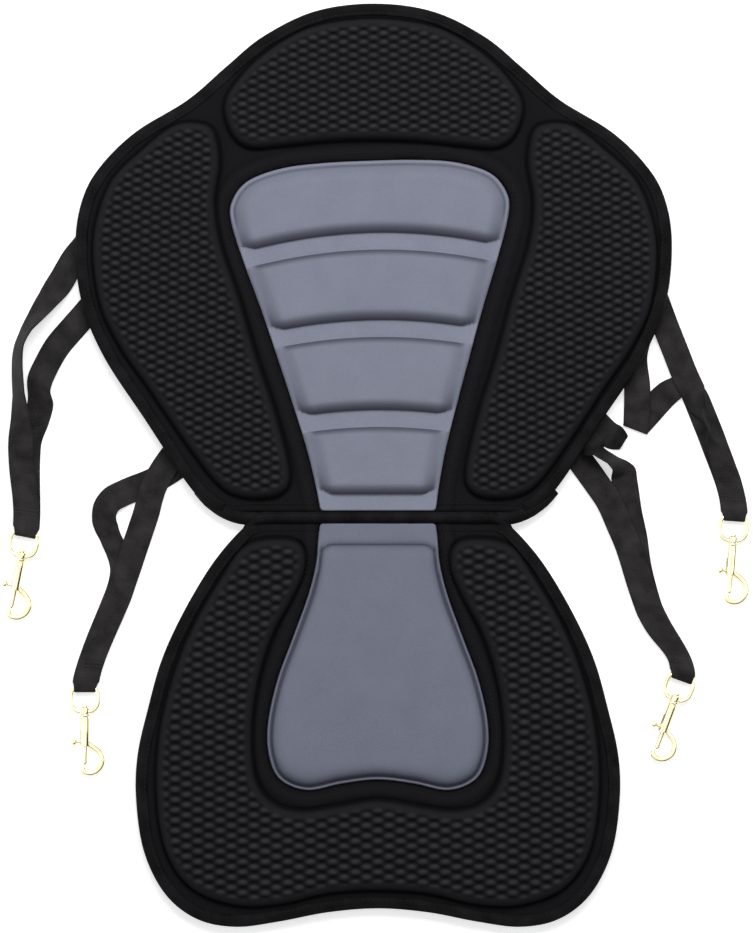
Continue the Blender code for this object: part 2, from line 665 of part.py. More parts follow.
def turned(name, profile, **kwargs):
    """A round piece about the local Y axis, from (radius, y) pairs."""
    angles = [2 * math.pi * k / TURNED_SIDES for k in range(TURNED_SIDES)]
    rings = [[(radius * math.cos(a), y, radius * math.sin(a)) for a in angles] for radius, y in profile]
    return loft(name, rings, **kwargs)


def eye(name, made_of):
    """The closed ring that the webbing holds, with the collar that the hook's stem turns in."""
    half = EYE_HALF_WIDTH
    cut = EYE_CORNER * (1 - math.sqrt(0.5))
    left = [(-half * share, y) for share, y in EYE_SIDES]
    left += [(-half, EYE_CORNER - EYE_LENGTH), (cut - half, cut - EYE_LENGTH)]
    left += [(EYE_CORNER - half, -EYE_LENGTH)]
    path = [(0, EYE_TOP)] + left + [(-x, y) for x, y in reversed(left)]
    rows = smooth_curve([Vector((x, y, 0)) for x, y in path], True, CURVE_STEPS)
    count = len(rows)
    up = Vector((0, 0, 1))
    rings = []
    for i, point in enumerate(rows):
        tangent = (rows[(i + 1) % count] - rows[i - 1]).normalized()
        side = up.cross(tangent)
        ring_points = []
        for k in range(WIRE_SIDES):
            angle = 2 * math.pi * k / WIRE_SIDES
            outwards = math.cos(angle) * side + math.sin(angle) * up
            ring_points.append(tuple(point + EYE_WIRE / 2 * outwards))
        rings.append(ring_points)
    ring = loft(name, rings, capped=False, made_of=made_of)
    radius = COLLAR_DIAMETER / 2
    collar = turned(name + "_collar", [
        (radius - METAL_CHAMFER, -COLLAR_HALF_LENGTH), (radius, METAL_CHAMFER - COLLAR_HALF_LENGTH),
        (radius, COLLAR_HALF_LENGTH - METAL_CHAMFER), (radius - METAL_CHAMFER, COLLAR_HALF_LENGTH),
    ])
    bore_radius = STEM_DIAMETER / 2 + CLEARANCE
    bore_end = COLLAR_HALF_LENGTH + CUT_MARGIN
    bore = turned(name + "_bore", [(bore_radius, -bore_end), (bore_radius, bore_end)])
    combine(ring, collar, "UNION")
    combine(ring, bore, "DIFFERENCE")
    return ring, [collar, bore]


def barrel_start():
    return COLLAR_HALF_LENGTH + CLEARANCE + SHOULDER_THICKNESS


def barrel_end():
    return barrel_start() + BARREL_LENGTH


def hook_path():
    """Centre line of the hook, from inside the barrel's wall round to the tip under the bolt."""
    return [Vector((HOOK_REACH * x, barrel_end() + HOOK_LENGTH * y, 0)) for x, y in HOOK_CURVE]


def nose_end():
    return barrel_end() + HOOK_LENGTH * HOOK_TIP - 3 * CLEARANCE


def hook(name, made_of):
    """The swivel stem, shoulder, barrel and hook in one casting."""
    head = STEM_HEAD_DIAMETER / 2
    head_start = -COLLAR_HALF_LENGTH - CLEARANCE
    shoulder = COLLAR_HALF_LENGTH + CLEARANCE
    head_end = head_start - STEM_HEAD_THICKNESS
    body = turned(name, [
        (head - METAL_CHAMFER, head_end), (head, head_end + METAL_CHAMFER), (head, head_start),
        (STEM_DIAMETER / 2, head_start), (STEM_DIAMETER / 2, shoulder), (SHOULDER_DIAMETER / 2, shoulder),
        (SHOULDER_DIAMETER / 2, barrel_start()), (BARREL_DIAMETER / 2, barrel_start() + METAL_CHAMFER),
        (BARREL_DIAMETER / 2, barrel_end()),
    ], made_of=made_of)
    rows = smooth_curve(hook_path(), False, CURVE_STEPS)
    radii = [HOOK_WIRE / 2] * (len(rows) - 1) + [HOOK_WIRE / 2 * HOOK_TIP_TAPER]
    claw = sweep(name + "_claw", rows, radii, WIRE_SIDES)
    bore_radius = BOLT_DIAMETER / 2 + CLEARANCE
    bore_start = barrel_end() - BORE_DEPTH
    bore = turned(name + "_bolt_bore", [(bore_radius, bore_start), (bore_radius, nose_end() + CLEARANCE)])
    slot_start = knob_place() - BOLT_TRAVEL - KNOB_STEM / 2 - CLEARANCE
    slot_end = barrel_end() + CUT_MARGIN
    half_slot = SLOT_WIDTH / 2
    slot = box(name + "_slot", (-BARREL_DIAMETER, slot_start, -half_slot), (0, slot_end, half_slot))
    combine(body, claw, "UNION")
    combine(body, bore, "DIFFERENCE")
    combine(body, slot, "DIFFERENCE")
    return body, [claw, bore, slot]


def box(name, low, high):
    corners = [(x, y, z) for z in (low[2], high[2]) for x, y in
               ((low[0], low[1]), (high[0], low[1]), (high[0], high[1]), (low[0], high[1]))]
    faces = [(0, 1, 2, 3), (4, 5, 6, 7), (0, 1, 5, 4), (1, 2, 6, 5), (2, 3, 7, 6), (3, 0, 4, 7)]
    return mesh_object(name, corners, faces, smooth=False)


def bolt_start():
    return nose_end() - BOLT_LENGTH


def knob_place():
    return barrel_end() - KNOB_SETBACK


def bolt(name, made_of):
    """The sprung bolt that closes the hook, with the thumb knob on its side."""
    radius = BOLT_DIAMETER / 2
    nose = [(radius, nose_end() - METAL_CHAMFER), (radius - METAL_CHAMFER, nose_end())]
    body = turned(name, [(radius, bolt_start())] + nose, made_of=made_of)
    head_start = KNOB_REACH - KNOB_HEAD / 2
    head_end = KNOB_REACH + KNOB_HEAD / 2
    knob_profile = [
        (0.0, KNOB_STEM / 2), (head_start - METAL_CHAMFER, KNOB_STEM / 2),
        (head_start, KNOB_DIAMETER / 2 - METAL_CHAMFER), (head_start + METAL_CHAMFER, KNOB_DIAMETER / 2),
        (head_end - METAL_CHAMFER, KNOB_DIAMETER / 2), (head_end, KNOB_DIAMETER / 2 - METAL_CHAMFER),
    ]
    rings = []
    for reach, size in knob_profile:
        ring = []
        for k in range(KNOB_SIDES):
            angle = 2 * math.pi * k / KNOB_SIDES
            y = knob_place() + size * math.cos(angle)
            ring.append((-KNOB_ROOT - reach, y, size * math.sin(angle)))
        rings.append(ring)
    knob = loft(name + "_knob", rings)
    combine(body, knob, "UNION")
    return body, [knob]


def spring(name, made_of):
    """The coil that pushes the bolt shut, in the barrel's bore behind it."""
    low = barrel_end() - BORE_DEPTH + CLEARANCE + SPRING_WIRE / 2
    high = bolt_start() - CLEARANCE - SPRING_WIRE / 2
    radius = BOLT_DIAMETER / 2 - SPRING_WIRE / 2
    steps = SPRING_TURNS * SPRING_STEPS
    path = []
    for k in range(steps + 1):
        angle = 2 * math.pi * k / SPRING_STEPS
        y = low + (high - low) * k / steps
        path.append(Vector((radius * math.cos(angle), y, radius * math.sin(angle))))
    return sweep(name, path, [SPRING_WIRE / 2] * len(path), 4, made_of=made_of), []


def place(made_piece, matrix):
    obj, tools = made_piece
    for each in [obj] + tools:
        each.matrix_world = matrix


def snap(name, spec, made):
    frame = snap_frame(spec)
    droop = math.asin((SNAP_AXIS_HEIGHT - HOOK_WIRE / 2) / HOOK_REACH)
    hook_frame = frame @ Matrix.Rotation(math.pi - droop, 4, "Y")
    place(eye(f"{name}_snap_eye", made["brass"]), frame)
    place(hook(f"{name}_snap_hook", made["brass"]), hook_frame)
    place(bolt(f"{name}_snap_bolt", made["brass"]), hook_frame)
    place(spring(f"{name}_snap_spring", made["steel"]), hook_frame)


def main():
    clear_scene()
    made = {
        "black": material("black_fabric", (0.030, 0.030, 0.034), 0.85),
        "grey": material("grey_fabric", (0.220, 0.240, 0.290), 0.80),
        "foam": material("foam", (0.050, 0.050, 0.055), 0.90),
        "cover": material("cover_fabric", (0.025, 0.025, 0.028), 0.80),
        "binding": material("binding_tape", (0.012, 0.011, 0.012), 0.70),
        "webbing": material("webbing", (0.014, 0.012, 0.013), 0.75),
        "brass": material("brass_plate", (0.850, 0.680, 0.300), 0.20, 1.0),
        "steel": material("spring_steel", (0.550, 0.550, 0.560), 0.35, 1.0),
    }
    backrest(made)
    seat(made)
    for name, spec in STRAPS.items():
        strap(name, spec, made)
        snap(name, spec, made)


main()
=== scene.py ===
"""Looks of the folding kayak seat: moulded skins, tapes, webbing, stitches and snaps."""

import math

import bmesh
import bpy
import numpy as np
from mathutils import Matrix, Vector
from mathutils.geometry import delaunay_2d_cdt
from mathutils.kdtree import KDTree


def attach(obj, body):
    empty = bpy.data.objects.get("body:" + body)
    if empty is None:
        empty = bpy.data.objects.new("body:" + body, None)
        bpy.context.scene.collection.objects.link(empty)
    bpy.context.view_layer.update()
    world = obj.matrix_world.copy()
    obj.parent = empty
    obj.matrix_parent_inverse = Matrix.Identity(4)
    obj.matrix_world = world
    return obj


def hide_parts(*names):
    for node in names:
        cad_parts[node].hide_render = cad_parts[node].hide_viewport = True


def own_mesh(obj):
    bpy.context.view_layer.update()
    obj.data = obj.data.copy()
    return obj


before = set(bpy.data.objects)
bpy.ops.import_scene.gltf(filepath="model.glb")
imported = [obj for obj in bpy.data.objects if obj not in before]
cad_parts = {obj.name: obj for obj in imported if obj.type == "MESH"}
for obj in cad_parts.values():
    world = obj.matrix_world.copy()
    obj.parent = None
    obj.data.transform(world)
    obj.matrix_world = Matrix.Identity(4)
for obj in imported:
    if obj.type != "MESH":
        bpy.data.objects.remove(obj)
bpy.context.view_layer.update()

MM = 0.001

# Sizes of the solids, in millimetres
CLEARANCE = 0.3
WEBBING_WIDTH = 20.0
WEBBING_THICKNESS = 1.2
BINDING_WIDTH = 9.5
BINDING_WALL = 1.5
HINGE_Y = 160.0
FOLD_BEAD_RADIUS = 4.1
SEAT_BASE = 0.0
SEAT_FLOOR = 10.0
BACK_BASE = 3.0
BACK_FLOOR = 13.0
BINDING_OVER_FLOOR = 1.2
PAD_HEIGHT = 11.0
PANEL_BASE_HEIGHT = 1.6
RIB_HEIGHT = 5.0
SEAT_PANEL_HEIGHT = 6.0
RIM = BINDING_WALL + CLEARANCE
FOLD_EDGE = FOLD_BEAD_RADIUS + CLEARANCE - RIM
PANEL_END = FOLD_BEAD_RADIUS + 2 * CLEARANCE
PANEL_HALF = 44.0
SEAT_MIDDLE = 3.2
PANEL_OFFSET = 3.5
PANEL_LEAN = 7.6
PANEL_TILT = 0.036
PANEL_LENGTH = 269.5
SIDE_PAD_OFFSET = 3.5

# Half outlines of the solids, right side, from the hinge line
BACKREST_HALF = [
    (0, 389), (45, 383), (84, 364), (112, 341), (141, 316), (180, 292), (206, 267), (220, 243), (226, 210),
    (222, 165), (205, 122), (173, 73), (142, 26), (127, 10), (112, FOLD_EDGE), (90, FOLD_EDGE),
    (45, FOLD_EDGE), (0, FOLD_EDGE),
]
SEAT_HALF = [
    (0, -FOLD_EDGE), (40, -FOLD_EDGE), (75, -FOLD_EDGE), (93, -FOLD_EDGE - 0.8), (105, -11), (126, -36),
    (147.5, -72), (164, -108), (174.5, -145), (182.5, -181), (183.5, -215), (177.5, -254), (161.5, -286),
    (137.5, -305), (108, -311), (75, -307), (38, -300), (0, -297),
]
BACKREST_PANEL_HALF = [
    (0, PANEL_LENGTH), (35, 269), (66, 266), (92, 257), (104, 242), (105, 226), (96, 194), (84, 158),
    (73, 122), (62, 85), (52, 49), (46, 20), (PANEL_HALF + 0.5, 10), (PANEL_HALF - 0.6, PANEL_END + 0.8),
    (PANEL_HALF - 3, PANEL_END), (34, PANEL_END), (17, PANEL_END), (0, PANEL_END),
]
SEAT_PANEL_HALF = [
    (0, -PANEL_END), (17, -PANEL_END), (34, -PANEL_END), (PANEL_HALF - 3, -PANEL_END),
    (PANEL_HALF - 0.6, -PANEL_END - 0.8), (PANEL_HALF + 0.5, -10), (45.5, -20), (47, -36), (53, -60),
    (65, -93), (76, -123), (83, -154), (83, -178), (75, -198), (54, -207), (27, -202), (0, -199),
]
SEAT_RAISED_HALF = [(0, -17), (24, -17), (39, -18), (47, -26), (48.5, -40)] + SEAT_PANEL_HALF[8:]
SEAT_RAISED_INSET = 3.6
TOP_PAD_HALF = [
    (0, 377), (45, 371), (78, 354), (101, 333), (113, 312), (108, 290), (94, 279), (68, 280.5), (34, 284),
    (0, 285),
]
SIDE_PAD = [
    (131, 298), (151, 296), (175, 278), (200, 252), (213, 210), (209, 163), (194, 129), (173, 98), (142, 52),
    (121, 25), (106, 16), (88, 14), (72, 18), (66, 33), (76, 77), (90, 120), (103, 166), (116, 206),
    (120, 238), (116, 268), (120, 291),
]
SEAT_PAD_HALF = [
    (0, -214), (33, -219), (58, -222), (79, -216), (92, -198), (95, -163), (90, -124), (79, -89), (65, -63),
    (55, -40), (57, -22), (72, -16), (100, -21), (118.5, -45.5), (138, -78.5), (153.5, -115), (165, -160),
    (168, -207), (161, -252), (141, -281), (107, -294), (73, -293), (38, -285), (0, -282.5),
]
RIBS = [(215, 265), (149, 202), (81, 136), (17, 68)]
RIB_ARCH_RADIUS = 385.0
RIB_ARCH_FROM = 20.0
RIB_ARCH_FULL = 65.0

# Column and row pitch of the embossing, and how far its columns turn from upright
TOP_PAD_PITCH = (7.6, 6.7)
SIDE_PAD_PITCH = (7.4, 7.0)
SEAT_PAD_PITCH = (8.5, 7.8)
BUMP_HEIGHT = 1.7
PAD_SHOULDER = 8.0
PAD_CROWN = 1.6
PAD_CROWN_SPREAD = 22.0


# Outlines


def mirrored(half, middle=0.0):
    left = [(-x, y) for x, y in reversed(half[1:-1])]
    return [(x + middle, y + HINGE_Y) for x, y in half + left]


def askew(x, y):
    """Where a point of the backrest's straight pattern lies once it is sewn in."""
    share = y / PANEL_LENGTH
    return x + PANEL_OFFSET - PANEL_LEAN * share, HINGE_Y + y + PANEL_TILT * x * share


def arch(x, y):
    """How far the ribs' arch lowers a point of the straight pattern."""
    share = np.clip((y - RIB_ARCH_FROM) / (RIB_ARCH_FULL - RIB_ARCH_FROM), 0, 1)
    return share * x * x / (2 * RIB_ARCH_RADIUS)


def pattern_height(points):
    """How far up the straight pattern points on the backrest's panel lie; undoes askew and the ribs' arch."""
    y = points[:, 1] - HINGE_Y
    x = points[:, 0] - PANEL_OFFSET + PANEL_LEAN * y / PANEL_LENGTH
    y = y - PANEL_TILT * x * y / PANEL_LENGTH
    return y + arch(x, y)


def spline(a, b, c, d, t):
    """The point at a share t of the smooth curve from b to c, whose neighbours are a and d."""
    bend = (2 * a - 5 * b + 4 * c - d) * t * t + (3 * b - a - 3 * c + d) * t ** 3
    return 0.5 * (2 * b + (c - a) * t + bend)


def smooth_loop(points, spacing):
    """A closed smooth curve through the points, as an array with about this spacing."""
    rows = np.array(points, float)
    curve = []
    for i in range(len(rows)):
        a, b, c, d = (rows[(i + k) % len(rows)] for k in (-1, 0, 1, 2))
        steps = max(2, round(float(np.linalg.norm(c - b)) / spacing))
        curve.append(spline(a, b, c, d, (np.arange(steps) / steps)[:, None]))
    return np.concatenate(curve)


def respaced(loop, spacing):
    """The closed loop with evenly spaced points."""
    closed = np.vstack([loop, loop[:1]])
    steps = np.linalg.norm(np.diff(closed, axis=0), axis=1)
    along = np.concatenate([[0], np.cumsum(steps)])
    places = np.linspace(0, along[-1], max(8, round(along[-1] / spacing)), endpoint=False)
    return np.stack([np.interp(places, along, closed[:, k]) for k in range(2)], axis=1)


def turning(loop):
    """1 for a loop that runs anticlockwise, or -1."""
    following = np.roll(loop, -1, axis=0)
    area = float(np.sum(loop[:, 0] * following[:, 1] - following[:, 0] * loop[:, 1]))
    return 1 if area > 0 else -1


def inset(loop, distance):
    """The closed loop moved inwards by a distance, or outwards by a negative one."""
    tangent = np.roll(loop, -1, axis=0) - np.roll(loop, 1, axis=0)
    tangent /= np.linalg.norm(tangent, axis=1)[:, None]
    normal = np.stack([-tangent[:, 1], tangent[:, 0]], axis=1)
    return loop + normal * distance * turning(loop)


def depth_inside(points, loop):
    """How far each point lies inside the loop; negative outside."""
    fine = respaced(loop, 1.0)
    tree = KDTree(len(fine))
    for i, (x, y) in enumerate(fine):
        tree.insert((x, y, 0), i)
    tree.balance()
    nearest = np.array([tree.find((x, y, 0))[1] for x, y in points])
    away = np.full(len(points), np.inf)
    side = np.zeros(len(points))
    for step in (-1, 0):
        a = fine[(nearest + step) % len(fine)]
        edge = fine[(nearest + step + 1) % len(fine)] - a
        d = points - a
        t = np.clip((d * edge).sum(axis=1) / np.maximum((edge * edge).sum(axis=1), 1e-12), 0, 1)
        distance = np.linalg.norm(d - t[:, None] * edge, axis=1)
        cross = edge[:, 0] * d[:, 1] - edge[:, 1] * d[:, 0]
        side = np.where(distance < away, cross, side)
        away = np.minimum(away, distance)
    return away * np.sign(side) * turning(fine)


def shoulder(depth, radius):
    """A rounded edge that rises from 0 at the outline to 1 at a depth of radius."""
    share = np.clip(depth, 0, radius) / radius
    return np.sqrt(np.clip(1 - (1 - share) ** 2, 0, 1))


def eased(values, low, high):
    """0 below low, 1 above high and smooth between."""
    t = np.clip((values - low) / (high - low), 0, 1)
    return t * t * (3 - 2 * t)


def near(distance, width):
    """1 at no distance, fading over a width."""
    return np.exp(-((distance / width) ** 2))


def above(values):
    """The values, with 0 for negative ones."""
    return np.clip(values, 0, None)


def staggered_points(loop, across, along):
    """Points of a lattice over a loop's rectangle, with every other row moved by half a step."""
    low, high = loop.min(axis=0), loop.max(axis=0)
    rows = []
    for number, y in enumerate(np.arange(low[1], high[1], along)):
        x = np.arange(low[0], high[0], across) + (across / 2 if number % 2 else 0)
        rows.append(np.stack([x, np.full(len(x), y)], axis=1))
    return np.concatenate(rows)


# Meshes


def placed(name, data):
    obj = bpy.data.objects.new(name, data)
    bpy.context.scene.collection.objects.link(obj)
    return obj


def mesh_object(name, points, faces):
    mesh = bpy.data.meshes.new(name)
    mesh.from_pydata([tuple(p) for p in np.asarray(points) * MM], [], faces)
    mesh.update()
    mesh.shade_smooth()
    return placed(name, mesh)


def turn_faces(obj, operation):
    """Turns an object's faces by one of the mesh operations."""
    shaped = bmesh.new()
    shaped.from_mesh(obj.data)
    operation(shaped, faces=shaped.faces)
    shaped.to_mesh(obj.data)
    shaped.free()


def triangulated(border, hole, points):
    """Points and upward triangles of a flat sheet over the border loop, open over the hole loop."""
    loops = [border] if hole is None else [border, hole]
    edges = []
    start = 0
    for loop in loops:
        edges += [(start + i, start + (i + 1) % len(loop)) for i in range(len(loop))]
        start += len(loop)
    everything = [Vector(p) for p in np.concatenate(loops + [points])]
    result = delaunay_2d_cdt(everything, edges, [], 0, 1e-5, False)
    flat = np.array([tuple(v) for v in result[0]])
    triangles = np.array(result[2])
    centres = flat[triangles].mean(axis=1)
    keep = depth_inside(centres, border) > 0
    if hole is not None:
        keep &= depth_inside(centres, hole) < 0
    triangles = triangles[keep]
    used, numbers = np.unique(triangles, return_inverse=True)
    flat = flat[used]
    triangles = numbers.reshape(triangles.shape)
    a, b, c = (flat[triangles[:, k]] for k in range(3))
    cross = (b[:, 0] - a[:, 0]) * (c[:, 1] - a[:, 1]) - (c[:, 0] - a[:, 0]) * (b[:, 1] - a[:, 1])
    triangles[cross < 0] = triangles[cross < 0][:, ::-1]
    return flat, triangles


def sheet_mesh(name, border, hole, points, surface, skirt):
    """A moulded sheet with a skirt down to a level; surface gives each point's height and its tone with
    painted light and shade.
    """
    flat, triangles = triangulated(border, hole, points)
    height, shade = surface(flat)
    solid = np.column_stack([flat, height])
    directed = {(int(t[k]), int(t[(k + 1) % 3])) for t in triangles for k in range(3)}
    rim = [(a, b) for a, b in directed if (b, a) not in directed]
    ring = sorted({a for edge in rim for a in edge})
    lower = {v: len(solid) + k for k, v in enumerate(ring)}
    dropped = solid[ring].copy()
    dropped[:, 2] = skirt
    faces = [tuple(int(v) for v in t) for t in triangles]
    faces += [(b, a, lower[a], lower[b]) for a, b in rim]
    obj = mesh_object(name, np.concatenate([solid, dropped]), faces)
    attribute = obj.data.attributes.new("tone_and_painted_light", "FLOAT", "POINT")
    # Tone with painted light and shade; the skirt gets half of it, a painted darkening down its wall.
    values = np.concatenate([shade, shade[ring] / 2])
    attribute.data.foreach_set("value", values.astype(np.float32))
    return obj


def swept(name, rings, closed=False):
    """A tube or tape through rings of equally many points; UVs run round and along it in millimetres."""
    rings = np.array(rings, float)
    rows, count = rings.shape[:2]
    faces = []
    for row in range(rows if closed else rows - 1):
        here, following = row * count, (row + 1) % rows * count
        for i in range(count):
            j = (i + 1) % count
            faces.append((here + i, here + j, following + j, following + i))
    sides = len(faces)
    if not closed:
        faces += [tuple(range(count)), tuple(range((rows - 1) * count, rows * count))]
    obj = mesh_object(name, rings.reshape(-1, 3), faces)
    along, around = (
        np.concatenate([[0], np.cumsum(np.linalg.norm(np.roll(line, -1, axis=0) - line, axis=1))])
        for line in (rings.mean(axis=1), rings[0])
    )
    layer = obj.data.uv_layers.new(name="UVMap")
    for number in range(sides):
        row, i = divmod(number, count)
        for k, (u, v) in enumerate(((i, row), (i + 1, row), (i + 1, row + 1), (i, row + 1))):
            layer.data[4 * number + k].uv = (around[u], along[v])
    turn_faces(obj, bmesh.ops.recalc_face_normals)
    return obj


def smooth_path(points, steps):
    """A smooth open curve of vectors through points."""
    rows = [Vector(p) for p in points]
    rows = [2 * rows[0] - rows[1]] + rows + [2 * rows[-1] - rows[-2]]
    curve = []
    for four in zip(rows, rows[1:], rows[2:], rows[3:]):
        curve += [spline(*four, step / steps) for step in range(steps)]
    return curve + [rows[-2]]


def circle(sides):
    """Cosine and sine of even steps round a circle."""
    angles = [2 * math.pi * k / sides for k in range(sides)]
    return [(math.cos(a), math.sin(a)) for a in angles]


def tube_rings(path, radii, sides):
    """Circles round a path of points, with a radius at each."""
    rings = []
    side = None
    for i, point in enumerate(path):
        tangent = (path[min(i + 1, len(path) - 1)] - path[max(i - 1, 0)]).normalized()
        if side is None:
            side = tangent.cross(Vector((0, 0, 1))).normalized()
        side = (side - tangent * side.dot(tangent)).normalized()
        up = side.cross(tangent)
        rings.append([tuple(point + radii[i] * (c * side + s * up)) for c, s in circle(sides)])
    return rings


# A stitch's sections: place along it, share of its radius, and rise in radii
STITCH_SECTIONS = ((0.0, 0.45, -0.5), (0.2, 1.0, 0.15), (0.5, 1.1, 0.35), (0.8, 1.0, 0.15), (1.0, 0.45, -0.5))
STITCH_SIDES = 6
STITCH_RADIUS = 0.3


def stitches(name, threads):
    """Short rounded threads from (start, end) pairs, each sunk at both ends."""
    points, faces = [], []
    up = Vector((0, 0, 1))
    for start, end in threads:
        start, end = Vector(start), Vector(end)
        side = (end - start).normalized().cross(up).normalized()
        first = len(points)
        for place, size, rise in STITCH_SECTIONS:
            centre = start.lerp(end, place) + up * (rise * STITCH_RADIUS)
            reach = STITCH_RADIUS * size
            points += [tuple(centre + reach * (c * side + s * up)) for c, s in circle(STITCH_SIDES)]
        last = len(points) - STITCH_SIDES
        for row in range(first, last, STITCH_SIDES):
            for k in range(STITCH_SIDES):
                a, b = row + k, row + (k + 1) % STITCH_SIDES
                faces.append((a, a + STITCH_SIDES, b + STITCH_SIDES, b))
        faces.append(tuple(range(first, first + STITCH_SIDES)))
        faces.append(tuple(reversed(range(last, last + STITCH_SIDES))))
    return mesh_object(name, points, faces)


def dress(obj, body, material, replaces=None):
    """Gives a piece its material and body, and hides the frame's part that it replaces."""
    obj.data.materials.append(material)
    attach(obj, body)
    if replaces:
        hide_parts(replaces)


# Materials


def new_material(name, colour, roughness, **sockets):
    made = bpy.data.materials.new(name)
    made.use_nodes = True
    shader = made.node_tree.nodes["Principled BSDF"]
    shader.inputs["Base Color"].default_value = (*colour, 1)
    shader.inputs["Roughness"].default_value = roughness
    for key, value in sockets.items():
        shader.inputs[key.replace("_", " ")].default_value = value
    return made, made.node_tree, shader


def node(tree, kind, **settings):
    """A shader node; settings are its properties, or values of its inputs."""
    made = tree.nodes.new(kind)
    for key, value in settings.items():
        if hasattr(made, key):
            setattr(made, key, value)
        else:
            made.inputs[key.replace("_", " ")].default_value = value
    return made


def math_node(tree, operation, first, second, third=None):
    """A maths node whose inputs are sockets or numbers."""
    made = node(tree, "ShaderNodeMath", operation=operation)
    for number, value in enumerate((first, second, third)):
        if value is None:
            continue
        if isinstance(value, (int, float)):
            made.inputs[number].default_value = value
        else:
            tree.links.new(value, made.inputs[number])
    return made.outputs["Value"]


def noise(tree, place, scale, detail):
    made = node(tree, "ShaderNodeTexNoise", Scale=scale, Detail=detail)
    tree.links.new(place, made.inputs["Vector"])
    return made.outputs["Fac"]


def waves(tree, place, direction, scale, distortion):
    made = node(tree, "ShaderNodeTexWave", bands_direction=direction, Scale=scale, Distortion=distortion)
    tree.links.new(place, made.inputs["Vector"])
    return made.outputs["Fac"]


def coordinates(tree, kind="Object"):
    return node(tree, "ShaderNodeTexCoord").outputs[kind]


def tint(tree, shader, factor, dark, light, low=0.0, high=1.0):
    """Colours a shader from dark to light by a factor."""
    made = node(tree, "ShaderNodeValToRGB")
    for end, place, colour in zip(made.color_ramp.elements, (low, high), (dark, light)):
        end.position, end.color = place, (*colour, 1)
    tree.links.new(factor, made.inputs["Fac"])
    tree.links.new(made.outputs["Color"], shader.inputs["Base Color"])


def add_bump(tree, shader, height, distance_mm, strength):
    made = node(tree, "ShaderNodeBump", Distance=distance_mm * MM, Strength=strength)
    tree.links.new(height, made.inputs["Height"])
    tree.links.new(made.outputs["Normal"], shader.inputs["Normal"])


# Length that a wave texture of scale 1 takes to repeat
WAVE_LENGTH = math.pi / 10


def fabric(name, dark, light, roughness, thread_mm, bump_mm, specular=0.15):
    """Knitted or woven cloth: crossing threads and uneven dye, times a point attribute that holds the skin's
    tone with painted light and shade.
    """
    made, tree, shader = new_material(name, light, roughness, Specular_IOR_Level=specular)
    place = coordinates(tree)
    scale = WAVE_LENGTH / (MM * thread_mm)
    threads = math_node(tree, "MULTIPLY", *(waves(tree, place, way, scale, 1.2) for way in "XY"))
    cloudy = noise(tree, place, 45.0, 5.0)
    speckle = noise(tree, place, 1400.0, 2.0)
    # The point attribute holds the tone with painted light and shade.
    tone_and_painted_light = node(tree, "ShaderNodeAttribute", attribute_name="tone_and_painted_light").outputs["Fac"]
    uneven = math_node(tree, "MULTIPLY_ADD", cloudy, 0.20, 0.835)
    uneven = math_node(tree, "MULTIPLY_ADD", math_node(tree, "SUBTRACT", speckle, 0.5), 0.5, uneven)
    tint(tree, shader, math_node(tree, "MULTIPLY", tone_and_painted_light, uneven), dark, light)
    add_bump(tree, shader, math_node(tree, "ADD", threads, speckle), bump_mm, 0.6)
    return made


def ribbed(name, dark, light, roughness, rib_mm, bump_mm, specular):
    """Tape or webbing with ribs across it and threads along it; its UVs are in millimetres."""
    made, tree, shader = new_material(name, light, roughness, Specular_IOR_Level=specular)
    place = coordinates(tree, "UV")
    ribs = waves(tree, place, "Y", WAVE_LENGTH / rib_mm, 0.8)
    threads = waves(tree, place, "X", WAVE_LENGTH / (rib_mm * 0.8), 0.8)
    woven = math_node(tree, "MULTIPLY", ribs, threads)
    cloudy = noise(tree, place, 0.06, 4.0)
    speckle = noise(tree, place, 1.1, 3.0)
    shade = math_node(tree, "MULTIPLY_ADD", woven, 0.45, math_node(tree, "MULTIPLY", cloudy, 1.5))
    shade = math_node(tree, "MULTIPLY_ADD", speckle, 0.8, math_node(tree, "SUBTRACT", shade, 0.85))
    tint(tree, shader, shade, dark, light)
    add_bump(tree, shader, math_node(tree, "MULTIPLY_ADD", speckle, 0.6, woven), bump_mm, 0.8)
    return made


def thread_material(name, dark, light):
    made, tree, shader = new_material(name, light, 0.6, Specular_IOR_Level=0.1)
    speckle = noise(tree, coordinates(tree), 2500.0, 2.0)
    tint(tree, shader, speckle, dark, light)
    add_bump(tree, shader, speckle, 0.05, 0.6)
    return made


def metal(name, colour, tarnish, roughness):
    """Polished plating with slight unevenness and handling marks."""
    made, tree, shader = new_material(name, colour, roughness, Metallic=1.0)
    cloudy = noise(tree, coordinates(tree), 160.0, 5.0)
    tint(tree, shader, cloudy, tarnish, colour, 0.3, 0.6)
    tree.links.new(math_node(tree, "MULTIPLY", cloudy, roughness * 2), shader.inputs["Roughness"])
    add_bump(tree, shader, cloudy, 0.03, 0.5)
    return made


BLACK = fabric("black_knit", (0.0034, 0.0030, 0.0034), (0.058, 0.055, 0.062), 0.85, 0.9, 0.16, 0.03)
BACK_GREY = fabric("backrest_grey_knit", (0.036, 0.040, 0.060), (0.286, 0.301, 0.384), 0.8, 0.8, 0.06)
SEAT_GREY = fabric("seat_grey_knit", (0.027, 0.030, 0.046), (0.202, 0.219, 0.285), 0.8, 0.8, 0.06)
NYLON = fabric("cover_nylon", (0.006, 0.006, 0.0065), (0.020, 0.020, 0.022), 0.6, 0.7, 0.12, 0.3)
FOAM = fabric("board_foam", (0.020, 0.020, 0.022), (0.060, 0.060, 0.064), 0.9, 1.6, 0.2)
TAPE = ribbed("binding_tape", (0.0020, 0.0018, 0.0020), (0.016, 0.015, 0.017), 0.7, 1.0, 0.12, 0.05)
WEB = ribbed("strap_webbing", (0.0020, 0.0018, 0.0020), (0.046, 0.042, 0.045), 0.6, 1.1, 0.16, 0.10)
THREAD = thread_material("seam_thread", (0.004, 0.004, 0.004), (0.022, 0.021, 0.023))
STRAP_THREAD = thread_material("strap_thread", (0.02, 0.02, 0.02), (0.09, 0.085, 0.09))
